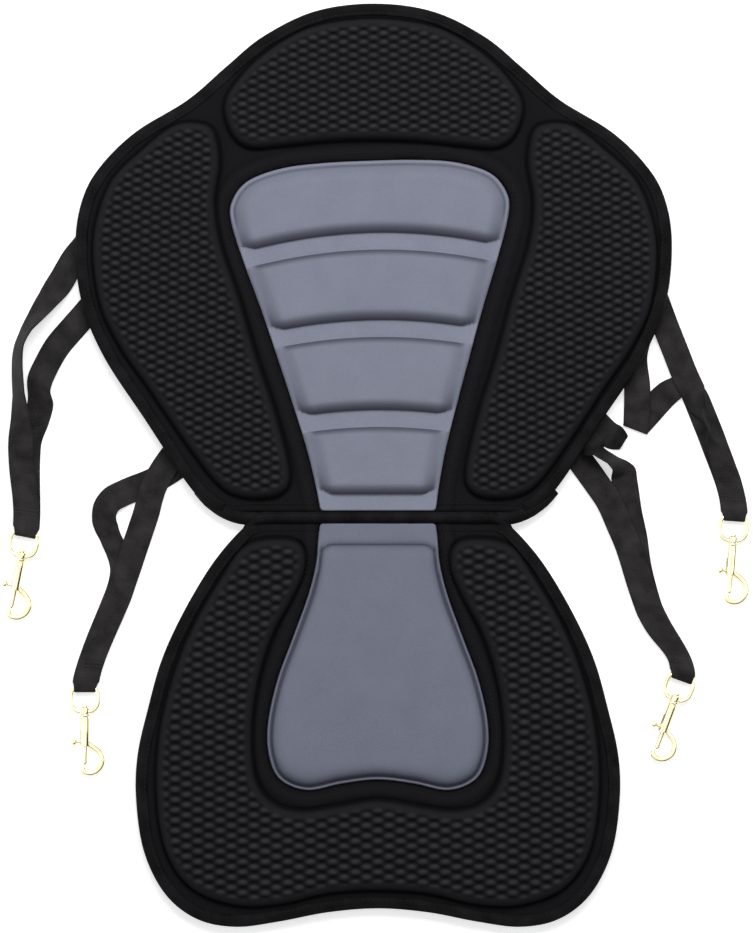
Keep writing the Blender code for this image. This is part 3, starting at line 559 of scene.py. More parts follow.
BRASS = metal("brass_plate", (0.95, 0.89, 0.63), (0.88, 0.79, 0.48), 0.10)
STEEL = metal("spring_steel", (0.62, 0.62, 0.63), (0.45, 0.45, 0.46), 0.3)


# Moulded black fronts

# A bump's half axes as shares of the pitch, and the painted shadows under the bumps, placed and sized in its
# half heights
BUMP_SHARES = (0.52, 0.36)
BUMP_ROUNDNESS = 0.85
SHADOW_PLACES = (1.15, -1.6)
SHADOW_HALF_HEIGHT = 0.6


def lattice(points, origin, pitch, tilt):
    """Staggered oval bumps: their height, 0 to 1, place up each, -1 to 1, and the painted shadow under each.
    """
    turn = np.array([[math.cos(tilt), -math.sin(tilt)], [math.sin(tilt), math.cos(tilt)]])
    x, y = ((points - origin) @ turn).T
    best, up, bump_shadow = np.zeros((3, len(points)))
    column = np.round(x / pitch[0])
    for here in (column - 1, column, column + 1):
        shift = np.where(here % 2 == 0, 0.0, pitch[1] / 2)
        row = np.round((y - shift) / pitch[1])
        dx = (x - here * pitch[0]) / (pitch[0] * BUMP_SHARES[0])
        dy = (y - shift - row * pitch[1]) / (pitch[1] * BUMP_SHARES[1])
        bump = np.clip(1 - dx * dx - dy * dy, 0, 1)
        up = np.where(bump > best, dy, up)
        best = np.maximum(best, bump)
        for place in SHADOW_PLACES:
            beside = (dy + place) / SHADOW_HALF_HEIGHT
            bump_shadow = np.maximum(bump_shadow, np.clip(1 - 0.8 * dx * dx - beside ** 2, 0, 1))
    return best ** BUMP_ROUNDNESS, up, bump_shadow


def side_pad(sign):
    return [(sign * x + SIDE_PAD_OFFSET * (1 - y / PANEL_LENGTH), y + HINGE_Y) for x, y in SIDE_PAD]


BACKREST_PADS = [
    (mirrored(TOP_PAD_HALF), TOP_PAD_PITCH, 0.0),
    (side_pad(1), SIDE_PAD_PITCH, math.radians(1.0)),
    (side_pad(-1), SIDE_PAD_PITCH, math.radians(-1.8)),
]
SEAT_PADS = [(mirrored(SEAT_PAD_HALF, SEAT_MIDDLE), SEAT_PAD_PITCH, 0.0)]
EDGE_RINGS = (-3.2, -2.2, -1.3, -0.6, 0.02, 0.25, 0.7, 1.3, 2.1, 3.2, 4.6, 6.0)
BACKREST_PANEL = smooth_loop([askew(x, y - HINGE_Y) for x, y in mirrored(BACKREST_PANEL_HALF)], 3)
SEAT_PANEL = smooth_loop(mirrored(SEAT_PANEL_HALF, SEAT_MIDDLE), 3)
BACKREST_EDGE = smooth_loop(mirrored(BACKREST_HALF), 3)
SEAT_EDGE = smooth_loop(mirrored(SEAT_HALF, SEAT_MIDDLE), 3)
SKIN_SINK = 0.3
SKIRT = 3.0
FLANGE_RISE = 0.9
FLANGE_SHADE = 0.13
WELT_PLACE = 7.5
WELT_HEIGHT = 0.5
CREASE_DEPTH = 1.5
CREASE_WIDTH = 1.7
CREASE_REACH = 0.3
EMBOSSED_FROM = 3.5
EMBOSSED_FULL = 9.0
BUMP_MIDDLE = 0.55
WIDE_MARGIN = 1.5
WIDE_FROM = 4.0
FINE_FROM = 6.6


def front_points(border, hole, pads):
    """Points for a black skin: dense over its pads and round their edges, and wide elsewhere."""
    wide = staggered_points(border, 3.0, 2.6)
    clear = (depth_inside(wide, border) > WIDE_MARGIN) & (depth_inside(wide, hole) < -WIDE_MARGIN)
    points = []
    for loop, pitch, _ in pads:
        points += [inset(loop, distance) for distance in EDGE_RINGS]
        fine = staggered_points(loop, pitch[0] / 6, pitch[1] / 8)
        points.append(fine[depth_inside(fine, loop) > FINE_FROM])
        clear &= depth_inside(wide, loop) < -WIDE_FROM
    return np.concatenate(points + [wide[clear]])


def flange(flat, border, hole, floor):
    """Height and shade of the soft flange round the pads, with a low welt beside the grey panel."""
    from_edge = above(depth_inside(flat, border))
    from_panel = above(-depth_inside(flat, hole))
    welt = near(from_panel - WELT_PLACE, 3.0)
    height = floor - SKIN_SINK + FLANGE_RISE * (1 - np.exp(-from_edge / 6) - np.exp(-from_panel / 2.5))
    # Painted highlight on the welt, and painted shade in the crease by the panel and in a line past the welt.
    shade = FLANGE_SHADE + 0.04 * welt - 0.09 * near(from_panel, 1.5) - 0.05 * near(from_panel - 12.5, 1.2)
    return height + WELT_HEIGHT * welt, shade


def raised_pad(flat, pad, floor, height, shade):
    """The flange's height and shade with one pad raised: rounded, crowned and embossed in its crease."""
    loop, pitch, tilt = pad
    depth = depth_inside(flat, loop)
    crease = near(depth, CREASE_WIDTH) * (depth < CREASE_REACH)
    crown = PAD_CROWN * (1 - np.exp(-above(depth) / PAD_CROWN_SPREAD))
    top = PAD_HEIGHT * shoulder(depth, PAD_SHOULDER) + crown
    embossed = eased(depth, EMBOSSED_FROM, EMBOSSED_FULL)
    bumps, up, bump_shadow = lattice(flat, loop.mean(axis=0), pitch, tilt)
    # Painted light and shade: bump tops lighter, upper halves lit and lower halves shaded as if lit from
    # above, with painted shadows below each bump.
    lit = 0.17 + bumps * (0.42 + 0.45 * up) - 0.15 * bump_shadow
    # Painted highlight: a lighter band about 4 mm inside the pad's edge, on its shoulder.
    rim = 0.21 + 0.07 * near(depth - 4.0, 3.0)
    # Painted shade darkens the pad just inside its edge.
    inside = (rim * (1 - embossed) + embossed * lit) * (1 - 0.75 * near(depth, 1.3))
    raised = floor - SKIN_SINK + top + BUMP_HEIGHT * embossed * (bumps - BUMP_MIDDLE)
    height = np.where(depth > 0, raised, height - CREASE_DEPTH * crease)
    # Painted shade darkens the crease round the pad.
    return height, np.where(depth > 0, inside, shade * (1 - 0.8 * crease))


def moulded_front(name, edge, panel, pads, floor):
    """The black skin, from the tape round its edge to the grey panel."""
    border = respaced(inset(edge, RIM), 3.0)
    hole = respaced(panel, 3.0)
    pads = [(respaced(smooth_loop(points, 3), 2.0), pitch, tilt) for points, pitch, tilt in pads]

    def surface(flat):
        height, shade = flange(flat, border, hole, floor)
        for pad in pads:
            height, shade = raised_pad(flat, pad, floor, height, shade)
        return height, shade

    return sheet_mesh(name, border, hole, front_points(border, hole, pads), surface, floor - SKIRT)


# Moulded grey panels

PANEL_EDGE_RINGS = (0.4, 0.9, 1.5, 2.2, 3.0, 3.9, 4.9, 6.2)
RIB_ROWS = (-1.6, -0.8, -0.3, 0.05, 0.4, 0.9, 1.6, 2.5, 3.6, 5.0, 6.6, 8.4)
ROW_MARGIN = 1.0
RIB_FALL = 9.0
RIB_RISE = 6.0
RIB_CROWN = 2.0
RAISED_RINGS = (-1.5, -0.7, 0.05, 0.4, 1.0, 1.8, 2.8, 4.2, 6.0, 8.5)
RAISED_SHOULDER = 8.0
RAISED_CROWN = 1.5
RAISED_CROWN_SPREAD = 25.0
LIP_PLACE = 1.2
LIP_HEIGHT = 1.1
GROOVE_PLACE = 3.2
GROOVE_DEPTH = 0.7


def panel_edge(flat, border, floor, lipped):
    """Depth from the edge, lip and height of a panel that has a thin lip and a groove where lipped is 1."""
    edge = depth_inside(flat, border)
    lip = near(edge - LIP_PLACE, 0.9) * lipped
    groove = near(edge - GROOVE_PLACE, 1.0) * lipped
    height = floor + PANEL_BASE_HEIGHT * np.clip(edge, 0, 1) ** 0.5 + LIP_HEIGHT * lip - GROOVE_DEPTH * groove
    return edge, lip, height


def rib_points(lower, upper):
    """Points along both edges of a rib, dense across them."""
    rows = [lower + d for d in RIB_ROWS] + [upper - d for d in RIB_ROWS]
    y, x = (grid.ravel() for grid in np.meshgrid(rows, np.arange(-104, 104.1, 2.0), indexing="ij"))
    return np.stack(askew(x, y - arch(x, y)), axis=1)


def among_rows(distance):
    """Whether points this far past a rib's edge lie among its rows of points."""
    return (distance > RIB_ROWS[0] - ROW_MARGIN) & (distance < RIB_ROWS[-1] + ROW_MARGIN)


def ribbed_points(border):
    rings = [inset(border, distance) for distance in PANEL_EDGE_RINGS]
    ribs = np.concatenate([rib_points(*rows) for rows in RIBS])
    ribs = ribs[depth_inside(ribs, border) > 1.2]
    grid = staggered_points(border, 2.4, 2.4)
    y = pattern_height(grid)
    clear = depth_inside(grid, border) > 7.0
    for lower, upper in RIBS:
        clear &= ~among_rows(y - lower) & ~among_rows(upper - y)
    return np.concatenate(rings + [ribs, grid[clear]])


def one_rib(edge, over, under):
    """Rise of a pillowy rib, 0 to 1, and its painted shade: a dark band at its lower edge that ends sharply,
    and a soft dark line under its upper edge.
    """
    corner = above(RIB_FALL - (edge - 4.5)) * np.exp(-above(over) / 12)
    foot = RIB_FALL - np.hypot(above(RIB_FALL - over), corner)
    top = 1 - (1 - shoulder(under, RIB_RISE)) * eased(edge, 2, 9)
    inside = (foot > 0) & (under > 0)
    # Painted shade: a dark band along the rib's lower edge.
    foot_painted_shade = 0.72 * (1 - eased(foot, 2.5, 11.0)) * inside * eased(edge, 1.5, 4.5)
    # Painted shade: a dark line under the rib's upper edge, fading downwards.
    line = 0.66 * (1 - eased(under, 0.6, 6.0)) * (under > 0) * eased(edge, 4, 10) * (over > 0)
    return np.where(inside, shoulder(foot, RIB_FALL) * top, 0), (1 - foot_painted_shade) * (1 - line)


def ribbed_panel():
    """The backrest's grey skin: four ribs that merge into its sides, the first also into its top."""
    border = respaced(BACKREST_PANEL, 2.0)

    def surface(flat):
        y = pattern_height(flat)
        at_top = eased(y, 228, 246)
        edge, lip, height = panel_edge(flat, border, BACK_FLOOR, at_top)
        # Painted highlight on the top lip and along the panel's edge.
        shade = 0.90 + 0.10 * np.maximum(lip, near(edge - 1.0, 1.2))
        rise = np.zeros(len(flat))
        for number, (lower, upper) in enumerate(RIBS):
            under = upper - y if number else np.full(len(flat), RIB_RISE)
            here, dark = one_rib(edge, y - lower, under)
            rise = np.maximum(rise, here)
            # Each rib's painted shade darkens the panel's colour.
            shade = shade * dark
        # Painted shade in the groove under the top lip, and a fainter painted shade fading inwards from it.
        fade = np.exp(-above(edge - 3.4) / 4) * (edge > 3.4)
        shade = shade * (1 - 0.55 * near(edge - 3.4, 1.0) * at_top) * (1 - 0.25 * fade * at_top)
        height += (RIB_HEIGHT + RIB_CROWN) * rise * (0.25 + 0.75 * eased(edge, 1, 15)) * eased(edge, 0, 3)
        return height, shade

    points = ribbed_points(border)
    return sheet_mesh("backrest_ribbed_panel", border, None, points, surface, BACK_FLOOR - SKIRT)


def raised_points(border, raised):
    rings = [inset(border, distance) for distance in PANEL_EDGE_RINGS]
    rings = np.concatenate(rings + [inset(raised, distance) for distance in RAISED_RINGS])
    rings = rings[depth_inside(rings, border) > 0.3]
    grid = staggered_points(border, 2.6, 2.6)
    depth = depth_inside(grid, raised)
    clear = (depth_inside(grid, border) > 6.8) & ((depth > 9.6) | (depth < -2.2))
    return np.concatenate([rings, grid[clear]])


def raised_panel():
    """The seat's grey skin: a flat strip at the fold, then one pillowy form inside a thin lip."""
    border = respaced(SEAT_PANEL, 2.0)
    raised = respaced(smooth_loop(mirrored(SEAT_RAISED_HALF, SEAT_MIDDLE), 3), 2.0)
    raised = inset(raised, SEAT_RAISED_INSET)

    def surface(flat):
        forward = HINGE_Y - flat[:, 1]
        past = eased(forward, 18, 28)
        edge, lip, height = panel_edge(flat, border, SEAT_FLOOR, past)
        depth = depth_inside(flat, raised)
        inner, outer = above(depth), above(-depth)
        front = eased(forward, 176, 196)
        rear = eased(-forward, -30, -20)
        height += (SEAT_PANEL_HEIGHT + 1.0) * shoulder(depth, RAISED_SHOULDER)
        height += RAISED_CROWN * (1 - np.exp(-inner / RAISED_CROWN_SPREAD))
        height -= 0.6 * near(outer, 1.0) * (depth <= 0)
        # Painted highlight on the lip, and painted shade in the groove inside it.
        shade = (0.93 + 0.07 * lip) * (1 - 0.62 * near(edge - GROOVE_PLACE, 1.1) * past)
        # Painted shade inside the raised form's edge, broader and darker at the front.
        shade = shade * (1 - (0.30 + 0.15 * front) * np.exp(-inner / (1.0 + 7.0 * front)) * (depth > 0))
        # Painted shade along the raised form's rear edge, by the flat strip at the fold.
        shade = shade * (1 - rear * (0.55 * near(depth, 0.9) + 0.2 * near(outer, 3.0)))
        return height, shade

    points = raised_points(border, raised)
    return sheet_mesh("seat_raised_panel", border, None, points, surface, SEAT_FLOOR - SKIRT)


dress(moulded_front("backrest_moulded_front", BACKREST_EDGE, BACKREST_PANEL, BACKREST_PADS, BACK_FLOOR),
      "backrest", BLACK, "backrest_front")
dress(moulded_front("seat_moulded_top", SEAT_EDGE, SEAT_PANEL, SEAT_PADS, SEAT_FLOOR),
      "seat", BLACK, "seat_top")
dress(ribbed_panel(), "backrest", BACK_GREY, "backrest_centre_panel")
dress(raised_panel(), "seat", SEAT_GREY, "seat_centre_panel")


# Tape round the edges, and the rolled band at the fold


def tape_section(base, top):
    """Section of the folded tape as (distance in, height), rounded outside and ridged along its seam."""
    middle, reach = (base + top) / 2, (top - base) / 2
    outside = []
    for k in range(13):
        angle = math.pi / 2 - math.pi * k / 12
        rise = math.copysign(abs(math.sin(angle)) ** 0.7, math.sin(angle))
        outside.append((2.6 - 2.5 * abs(math.cos(angle)) ** 0.8, middle + reach * rise))
    seam = [(0.0, -0.9), (0.3, -0.25), (1.2, 0.05), (2.2, -0.25), (3.3, 0.1), (4.4, 0.35), (5.3, 0.1)]
    upper = [(BINDING_WIDTH - u, top + rise) for u, rise in seam]
    lower = [(5.0, base), (BINDING_WIDTH - 0.4, base), (BINDING_WIDTH, base + 0.8)]
    inner = [(2.4, base + 0.9), (2.4, top - 0.9)]
    return upper + outside + lower + inner


def binding(name, edge, base, floor, keep):
    loop = respaced(edge, 2.5)
    section = tape_section(base, floor + BINDING_OVER_FLOOR)
    moved = [inset(loop, u) for u, _ in section]
    chosen = [i for i in range(len(loop)) if keep(loop[i])]
    start = next(k for k, i in enumerate(chosen) if (i - 1) % len(loop) not in chosen)
    rings = []
    for i in chosen[start:] + chosen[:start]:
        rings.append([(moved[k][i][0], moved[k][i][1], z) for k, (_, z) in enumerate(section)])
    return swept(name, rings)


def past_fold(sign, distance):
    return lambda p: sign * (p[1] - HINGE_Y) > distance


FOLD_ROLL_RADIUS = 4.7
# Right half of the rolled band: place from the seat's middle, height from its floor, and share of the radius
FOLD_ROLL_HALF = [
    (0, 0, 0, 1.0), (30, 0, 0, 1.0), (60, 0, 0, 1.0), (86, 0, 0, 1.0), (92, -1.6, -0.8, 0.9),
    (96.5, -5.0, -2.0, 0.75), (100.5, -10.5, -3.6, 0.55), (104.0, -17.0, -5.0, 0.3),
]
# Right end of the backrest's tape: place, height and radius
TAPE_END = [
    (136, 20.0, 8.0, 3.2), (127, 12.4, 8.0, 5.0), (117, 6.0, 7.8, 6.0), (108, 2.1, 7.6, 6.3),
    (100, 0.2, 7.4, 6.2), (93, 0.4, 7.2, 5.6), (86, 1.2, 7.0, 4.4),
]
TAPE_END_OFFSET = 2.0
TAPE_END_STEPS = 5


def fold_roll():
    """The rolled black band along the fold, drawn down into the seat's tape at both corners."""
    rows = np.array([(-x, *rest) for x, *rest in reversed(FOLD_ROLL_HALF[1:])] + FOLD_ROLL_HALF)
    along = np.linspace(0, len(rows) - 1, 240)
    x, y, z, r = (np.interp(along, np.arange(len(rows)), rows[:, k]) for k in range(4))
    path = [Vector(p) for p in zip(x + SEAT_MIDDLE, y + HINGE_Y, z + SEAT_FLOOR)]
    slack = 1 + 0.02 * np.sin(x / 9.0) + 0.015 * np.sin(x / 3.7)
    return swept("fold_roll", tube_rings(path, [float(v) for v in FOLD_ROLL_RADIUS * r * slack], 24))


def tape_end(name, sign):
    """The tucked end of the backrest's tape, running down to the notch beside the fold."""
    path = [(sign * x + TAPE_END_OFFSET, y + HINGE_Y, z) for x, y, z, _ in TAPE_END]
    path = smooth_path(path, TAPE_END_STEPS)
    places = np.arange(len(path)) / TAPE_END_STEPS
    radii = np.interp(places, np.arange(len(TAPE_END)), [r for _, _, _, r in TAPE_END])
    return swept(name, tube_rings(path, [float(r) for r in radii], 20))


def cover(name, edge, base):
    """The plain cloth on the underside, slightly slack between its bound edges."""
    border = respaced(inset(edge, RIM), 4.0)
    grid = staggered_points(border, 6, 6)
    grid = grid[depth_inside(grid, border) > 9.5]
    step = BINDING_WIDTH - RIM
    rings = np.concatenate([inset(border, step + 0.3), inset(border, step + 1.5)])

    def surface(flat):
        depth = depth_inside(flat, border) - step
        ripple = 0.12 * np.sin(flat[:, 0] / 17) * np.sin(flat[:, 1] / 23)
        return base + np.where(depth < 0.35, 1.25, 0.25 + ripple), np.full(len(flat), 0.8)

    obj = sheet_mesh(name, border, None, np.concatenate([grid, rings]), surface, base + 2.2)
    turn_faces(obj, bmesh.ops.reverse_faces)
    return obj


def tape(obj, body, replaces=None):
    dress(obj, body, TAPE, replaces)


tape(binding("backrest_edge_tape", BACKREST_EDGE, BACK_BASE, BACK_FLOOR, past_fold(1, 3.2)), "backrest",
     "backrest_binding")
tape(binding("seat_edge_tape", SEAT_EDGE, SEAT_BASE, SEAT_FLOOR, past_fold(-1, 3.2)), "seat", "seat_binding")
tape(fold_roll(), "seat")
tape(tape_end("backrest_tape_end_left", -1), "backrest")
tape(tape_end("backrest_tape_end_right", 1), "backrest")
dress(cover("backrest_back_cloth", BACKREST_EDGE, BACK_BASE), "backrest", NYLON,
      "backrest_back_cover")
dress(cover("seat_bottom_cloth", SEAT_EDGE, SEAT_BASE), "seat", NYLON, "seat_bottom_cover")


# Straps, through the stations of the solids

STRAPS = {
    "upper_left": {
        "swivel": (-267.4, -29.1),
        "heading": -101.0,
        "main": [
            (-205, 230, 1, -38, 0), (-217, 209, 1, -39, 0), (-228, 195, 1, -40, 0), (-238, 178, 1, -38, 0),
            (-247, 165, 1, -36, 30), (-256, 152, 1, -16, 47), (-264, 140, 1, 12, 56), (-269, 128, 1, 22, 60),
            (-270, 113, 1, 20, 60), (-269, 93, 1, 14, 58), (-268, 75, 1, 8, 40), (-268, 60, 1, 2, 18),
            (-268, 42, 1, 2, 8), (-267, 24, 1, -6, 0),
        ],
        "second": [[
            (-265, 24, 0, -6, 0), (-264, 42, 0, 4, 0), (-262, 57, 0, 2, 0), (-257, 71, 0, -4, 0),
            (-253, 87, 1, -12, 0), (-254, 101, 3, -29, 0), (-248, 116, 1.5, -38, 0), (-240, 130, 0, -38, 0),
            (-229, 143, 0, -41, 0), (-215, 159, 0, -43, 0), (-200, 178, 0, -40, 0),
        ]],
    },
    "lower_left": {
        "swivel": (-219.3, -147.2),
        "heading": -90.0,
        "main": [
            (-131, 71, 1, -38, 0), (-152, 47, 1, -39, 0), (-164, 29, 1, -36, 0), (-169, 17, 1, -24, 0),
            (-173, 2, 1, -17, 0), (-181, -22, 1, -19, 0), (-188, -43, 1, -23, 0), (-196, -66, 1, -25, 0),
            (-205, -86, 1, -22, 0),
        ],
        "second": [[
            (-205, -86, 0, -22, 0), (-196, -64, 0, -24, 0), (-191, -43, 0, -21, 0), (-197, -22, 0, -8, 0),
            (-201.5, -13, 0, -8, 0), (-204, -5, 1, -8, 0), (-204, 5, 2.5, -32, 0), (-199, 13, 2.5, -58, 0),
            (-191, 17.5, 1, -70, 0), (-183, 21, 0, -70, 0), (-168, 27, 0, -68, 0), (-153, 36, 0, -63, 0),
            (-132, 50, 0, -57, 0),
        ]],
    },
    "upper_right": {
        "swivel": (272.6, -17.4),
        "heading": -94.0,
        "main": [
            (209, 179, 1, 23, 0), (222, 144, 1, 21, 0), (229, 126, 2, 20, 0), (236, 108, 2, 20, 4),
            (242, 95, 2, 26, 20), (247, 83, 1.5, 46, 52), (251, 73, 1, 82, 82), (255, 64, 1, 128, 62),
            (260, 54, 1, 164, 28), (265, 42, 1, 186, 8), (269, 29, 1, 190, 0),
        ],
        "second": [
            [(269, 29, 0, 10, 0), (262, 46, 0, 14, 0), (257, 60, 0, 17, 0), (251, 75, 0, 20, 0),
             (244, 92, 0, 12, 0), (237, 105, 0, -6, 0)],
            [(237, 105, 1, -6, 0), (230, 99.5, 1, -24, 0), (225, 95.5, 1, -34, 0), (219, 90, 0, -36, 0),
             (210, 80, 0, -36, 0), (199, 67, 0, -21, 0)],
            [(199, 67, 1, -21, 0), (200, 84, 1, -7, 0), (200, 100, 1, 3, 0), (198, 119, 0.2, 7, 0),
             (201, 136, 0, 4, 0), (203, 162, 0, 4, 0)],
        ],
    },
    "lower_right": {
        "swivel": (228.5, -137.8),
        "heading": -110.0,
        "main": [
            (144, 60, 0, 39, 0), (159, 40, 0, 38, 0), (169, 26, 0.8, 31, 0), (179, 11, 1, 25, 0),
            (187, -7, 1, 21, 0), (194, -24, 1, 18, 0), (203, -53, 1, 17, 0), (211, -75, 1, 21, 0),
            (221, -97, 1, 22, 0),
        ],
        "second": [
            [(221, -97, 0, 22, 0), (211, -74, 0, 21, 0), (202, -42, 0, 15, 0), (198, -16, 0, 12, 0),
             (194, 3, 0, 10, 0), (192, 17, 0, 12, 0), (190.5, 27, 0, 16, 0), (190, 32, 0, 17, 0),
             (188, 38, 0, 21, -40), (181, 43, 0.4, 26, -60), (170.5, 49.5, 1, 31, -60),
             (165.5, 54.5, 1, 35, 0), (156.5, 66, 1, 42, 0), (144, 87, 1, 53, 0)],
            [(144, 87, 0, 53, 0), (156, 82, 0, 60, 0), (168, 73, 0, 58, 0), (177.5, 63.5, 0, 58, 0),
             (182.5, 60.5, 0, 58, 8), (189.5, 56, 0, 62, 56)],
        ],
    },
}
SNAP_AXIS_HEIGHT = 4.0
EYE_WIRE = 3.2
EYE_HALF_WIDTH = 10.2
EYE_LENGTH = 17.0
EYE_CORNER = 4.4
BUNCHED_WIDTH = 15.6
STRAP_RAMP = 19.0
RAMP_END = 1.2
LOOP_RADIUS = EYE_WIRE / 2 + CLEARANCE + WEBBING_THICKNESS / 2
RAMP_STEPS = 9
LOOP_STEPS = 16
FOLD_STEPS = 6


def webbing_height(level):
    return WEBBING_THICKNESS / 2 + level * (WEBBING_THICKNESS + CLEARANCE)


def run_frames(run, spacing=2.2):
    """Centre, direction across and width along one run of a strap."""
    frames = []
    for i, (x, y, level, angle, roll) in enumerate(run):
        here = Vector((x, y))
        after = run[min(i + 1, len(run) - 1)]
        there = Vector(after[:2])
        before = Vector(run[i - 1][:2]) if i > 0 else 2 * here - there
        beyond = Vector(run[i + 2][:2]) if i + 2 < len(run) else 2 * there - here
        steps = max(1, round((there - here).length / spacing))
        for step in range(steps):
            t = step / steps
            place = spline(before, here, there, beyond, t)
            lift = math.radians(roll + (after[4] - roll) * t)
            turn = math.radians(angle + (after[3] - angle) * t)
            flat = math.cos(lift)
            across = Vector((flat * math.cos(turn), flat * math.sin(turn), math.sin(lift)))
            height = webbing_height(level + (after[2] - level) * t) + abs(across.z) * WEBBING_WIDTH / 2
            frames.append((Vector((place.x, place.y + HINGE_Y, height)), across, WEBBING_WIDTH))
    return frames


def flat_fold(before, after):
    """The bend between two runs that meet at a crease, as a half round of stations."""
    lower, ruling, width = before[-1]
    upper = after[0][0]
    outward = (lower - before[-2][0]).normalized()
    outward = (outward - ruling * outward.dot(ruling)).normalized()
    middle, reach = (lower + upper) / 2, (upper - lower) / 2
    stations = []
    for k in range(1, FOLD_STEPS):
        angle = math.pi * k / FOLD_STEPS
        centre = middle - reach * math.cos(angle) + outward * reach.length * math.sin(angle)
        stations.append((centre, ruling, width))
    return stations


def heading_frame(spec):
    """Direction of a snap, the direction across it, and the middle of its eye's bar."""
    heading = math.radians(spec["heading"])
    along = Vector((math.cos(heading), math.sin(heading), 0))
    across = Vector((-along.y, along.x, 0))
    x, y = spec["swivel"]
    return along, across, Vector((x, y + HINGE_Y, SNAP_AXIS_HEIGHT)) - along * EYE_LENGTH


def ramp_stations(along, across, bar, flat, at_bar):
    """Stations of the webbing from where it lies flat to the eye's bar."""
    stations = []
    for k in range(RAMP_STEPS + 1):
        share = k / RAMP_STEPS
        centre = bar - along * (STRAP_RAMP * (1 - share) + RAMP_END * share)
        centre.z = flat + (at_bar - flat) * share * share * (3 - 2 * share)
        stations.append((centre, across, WEBBING_WIDTH))
    return stations


def snap_loop(spec, levels):
    """Stations of the webbing round the eye's bar, bunched together inside the eye."""
    along, across, bar = heading_frame(spec)
    turn = []
    for k in range(1, LOOP_STEPS):
        angle = math.pi / 2 - math.pi * k / LOOP_STEPS
        centre = bar + along * LOOP_RADIUS * math.cos(angle) + Vector((0, 0, LOOP_RADIUS * math.sin(angle)))
        width = WEBBING_WIDTH - (WEBBING_WIDTH - BUNCHED_WIDTH) * math.cos(angle) ** 0.5
        turn.append((centre, across, width))
    upper, lower = (
        ramp_stations(along, across, bar, webbing_height(level), SNAP_AXIS_HEIGHT + side * LOOP_RADIUS)
        for level, side in zip(levels, (1, -1))
    )
    return upper + turn + lower[::-1]


def relaxed(frames, joint, reach=13, passes=70):
    """The stations with the bend at a joint between two runs smoothed out in plan."""
    frames = list(frames)
    for _ in range(passes):
        previous = list(frames)
        for i in range(max(1, joint - reach), min(len(frames) - 1, joint + reach)):
            (a, ra, _), (b, rb, width), (c, rc, _) = previous[i - 1], previous[i], previous[i + 1]
            ra = ra if ra.dot(rb) > 0 else -ra
            rc = rc if rc.dot(rb) > 0 else -rc
            middle = (a + c) / 4 + b / 2
            ruling = (ra + rc + 2 * rb).normalized()
            frames[i] = (Vector((middle.x, middle.y, b.z)), ruling, width)
    return frames


def strap_frames(spec):
    """Stations of a whole strap, and how many lie before it climbs to the eye."""
    levels = (spec["main"][-1][2], spec["second"][0][0][2])
    main = run_frames(spec["main"])
    loop = snap_loop(spec, levels)
    runs = [run_frames(run) for run in spec["second"]]
    frames = relaxed(main + loop + runs[0], len(main))
    frames = relaxed(frames, len(main) + len(loop))
    for before, after in zip(runs, runs[1:]):
        frames += flat_fold(before, after) + after
    return frames, len(main)


# Section of the webbing in half widths and half thicknesses
WEBBING_SECTION = [
    (-1.0, 0.0), (-0.975, 0.75), (-0.9, 1.0), (-0.45, 0.92), (0.0, 0.95), (0.45, 0.92), (0.9, 1.0),
    (0.975, 0.75), (1.0, 0.0), (0.975, -0.75), (0.9, -1.0), (0.0, -0.95), (-0.9, -1.0), (-0.975, -0.75),
]


def webbing(name, frames):
    """The woven strap: a flat section with rounded selvedges along its stations."""
    rings = []
    last = frames[0][1]
    for i, (centre, ruling, width) in enumerate(frames):
        if ruling.dot(last) < 0:
            ruling = -ruling
        last = ruling
        tangent = frames[min(i + 1, len(frames) - 1)][0] - frames[max(i - 1, 0)][0]
        tangent = (tangent - ruling * tangent.dot(ruling)).normalized()
        normal = tangent.cross(ruling).normalized() * (WEBBING_THICKNESS / 2)
        rings.append([tuple(centre + ruling * (u * width / 2) + normal * v) for u, v in WEBBING_SECTION])
    return swept(name + "_webbing", rings)


def strap_threads(frames, start):
    """Two rows of stitches across a strap where it starts to climb."""
    threads = []
    for centre, ruling, _ in frames[start + 3:start + 5]:
        for k in range(-3, 4):
            middle = centre + ruling * (k * 2.6) + Vector((0, 0, 0.8))
            threads.append((middle - ruling, middle + ruling))
    return threads


threads = []
for name, spec in STRAPS.items():
    frames, ramp_start = strap_frames(spec)
    dress(webbing(name, frames), "backrest", WEB, name + "_strap")
    threads += strap_threads(frames, ramp_start)
dress(stitches("strap_stitches", threads), "backrest", STRAP_THREAD)


# Seam stitches

TAPE_SEAM = BINDING_WIDTH - 2.2
STITCH_PITCH = 3.6
STITCH_LENGTH = 2.5
# Body, name, loop, inset, height, and where past the fold it starts
SEAMS = [
    ("backrest", "tape", BACKREST_EDGE, TAPE_SEAM, BACK_FLOOR + 1.1, past_fold(1, 8)),
    ("seat", "tape", SEAT_EDGE, TAPE_SEAM, SEAT_FLOOR + 1.1, past_fold(-1, 8)),
    ("backrest", "panel", BACKREST_PANEL, -6.5, BACK_FLOOR + 0.95, past_fold(1, 6)),
    ("seat", "panel", SEAT_PANEL, -6.0, SEAT_FLOOR + 0.9, past_fold(-1, 6)),
]


def seam(name, loop, z, keep):
    """A row of stitches along a loop at a height."""
    even = respaced(loop, STITCH_PITCH)
    threads = []
    for i, point in enumerate(even):
        if not keep(point):
            continue
        direction = even[(i + 1) % len(even)] - even[i - 1]
        direction /= np.linalg.norm(direction)
        reach = direction * STITCH_LENGTH / 2
        threads.append(((*(point - reach), z), (*(point + reach), z)))
    return stitches(name, threads)


for body, what, loop, distance, height, keep in SEAMS:
    dress(seam(f"{body}_{what}_stitches", inset(loop, distance), height, keep), body, THREAD)


# Snaps: the castings of the solids with round wires and rounded edges

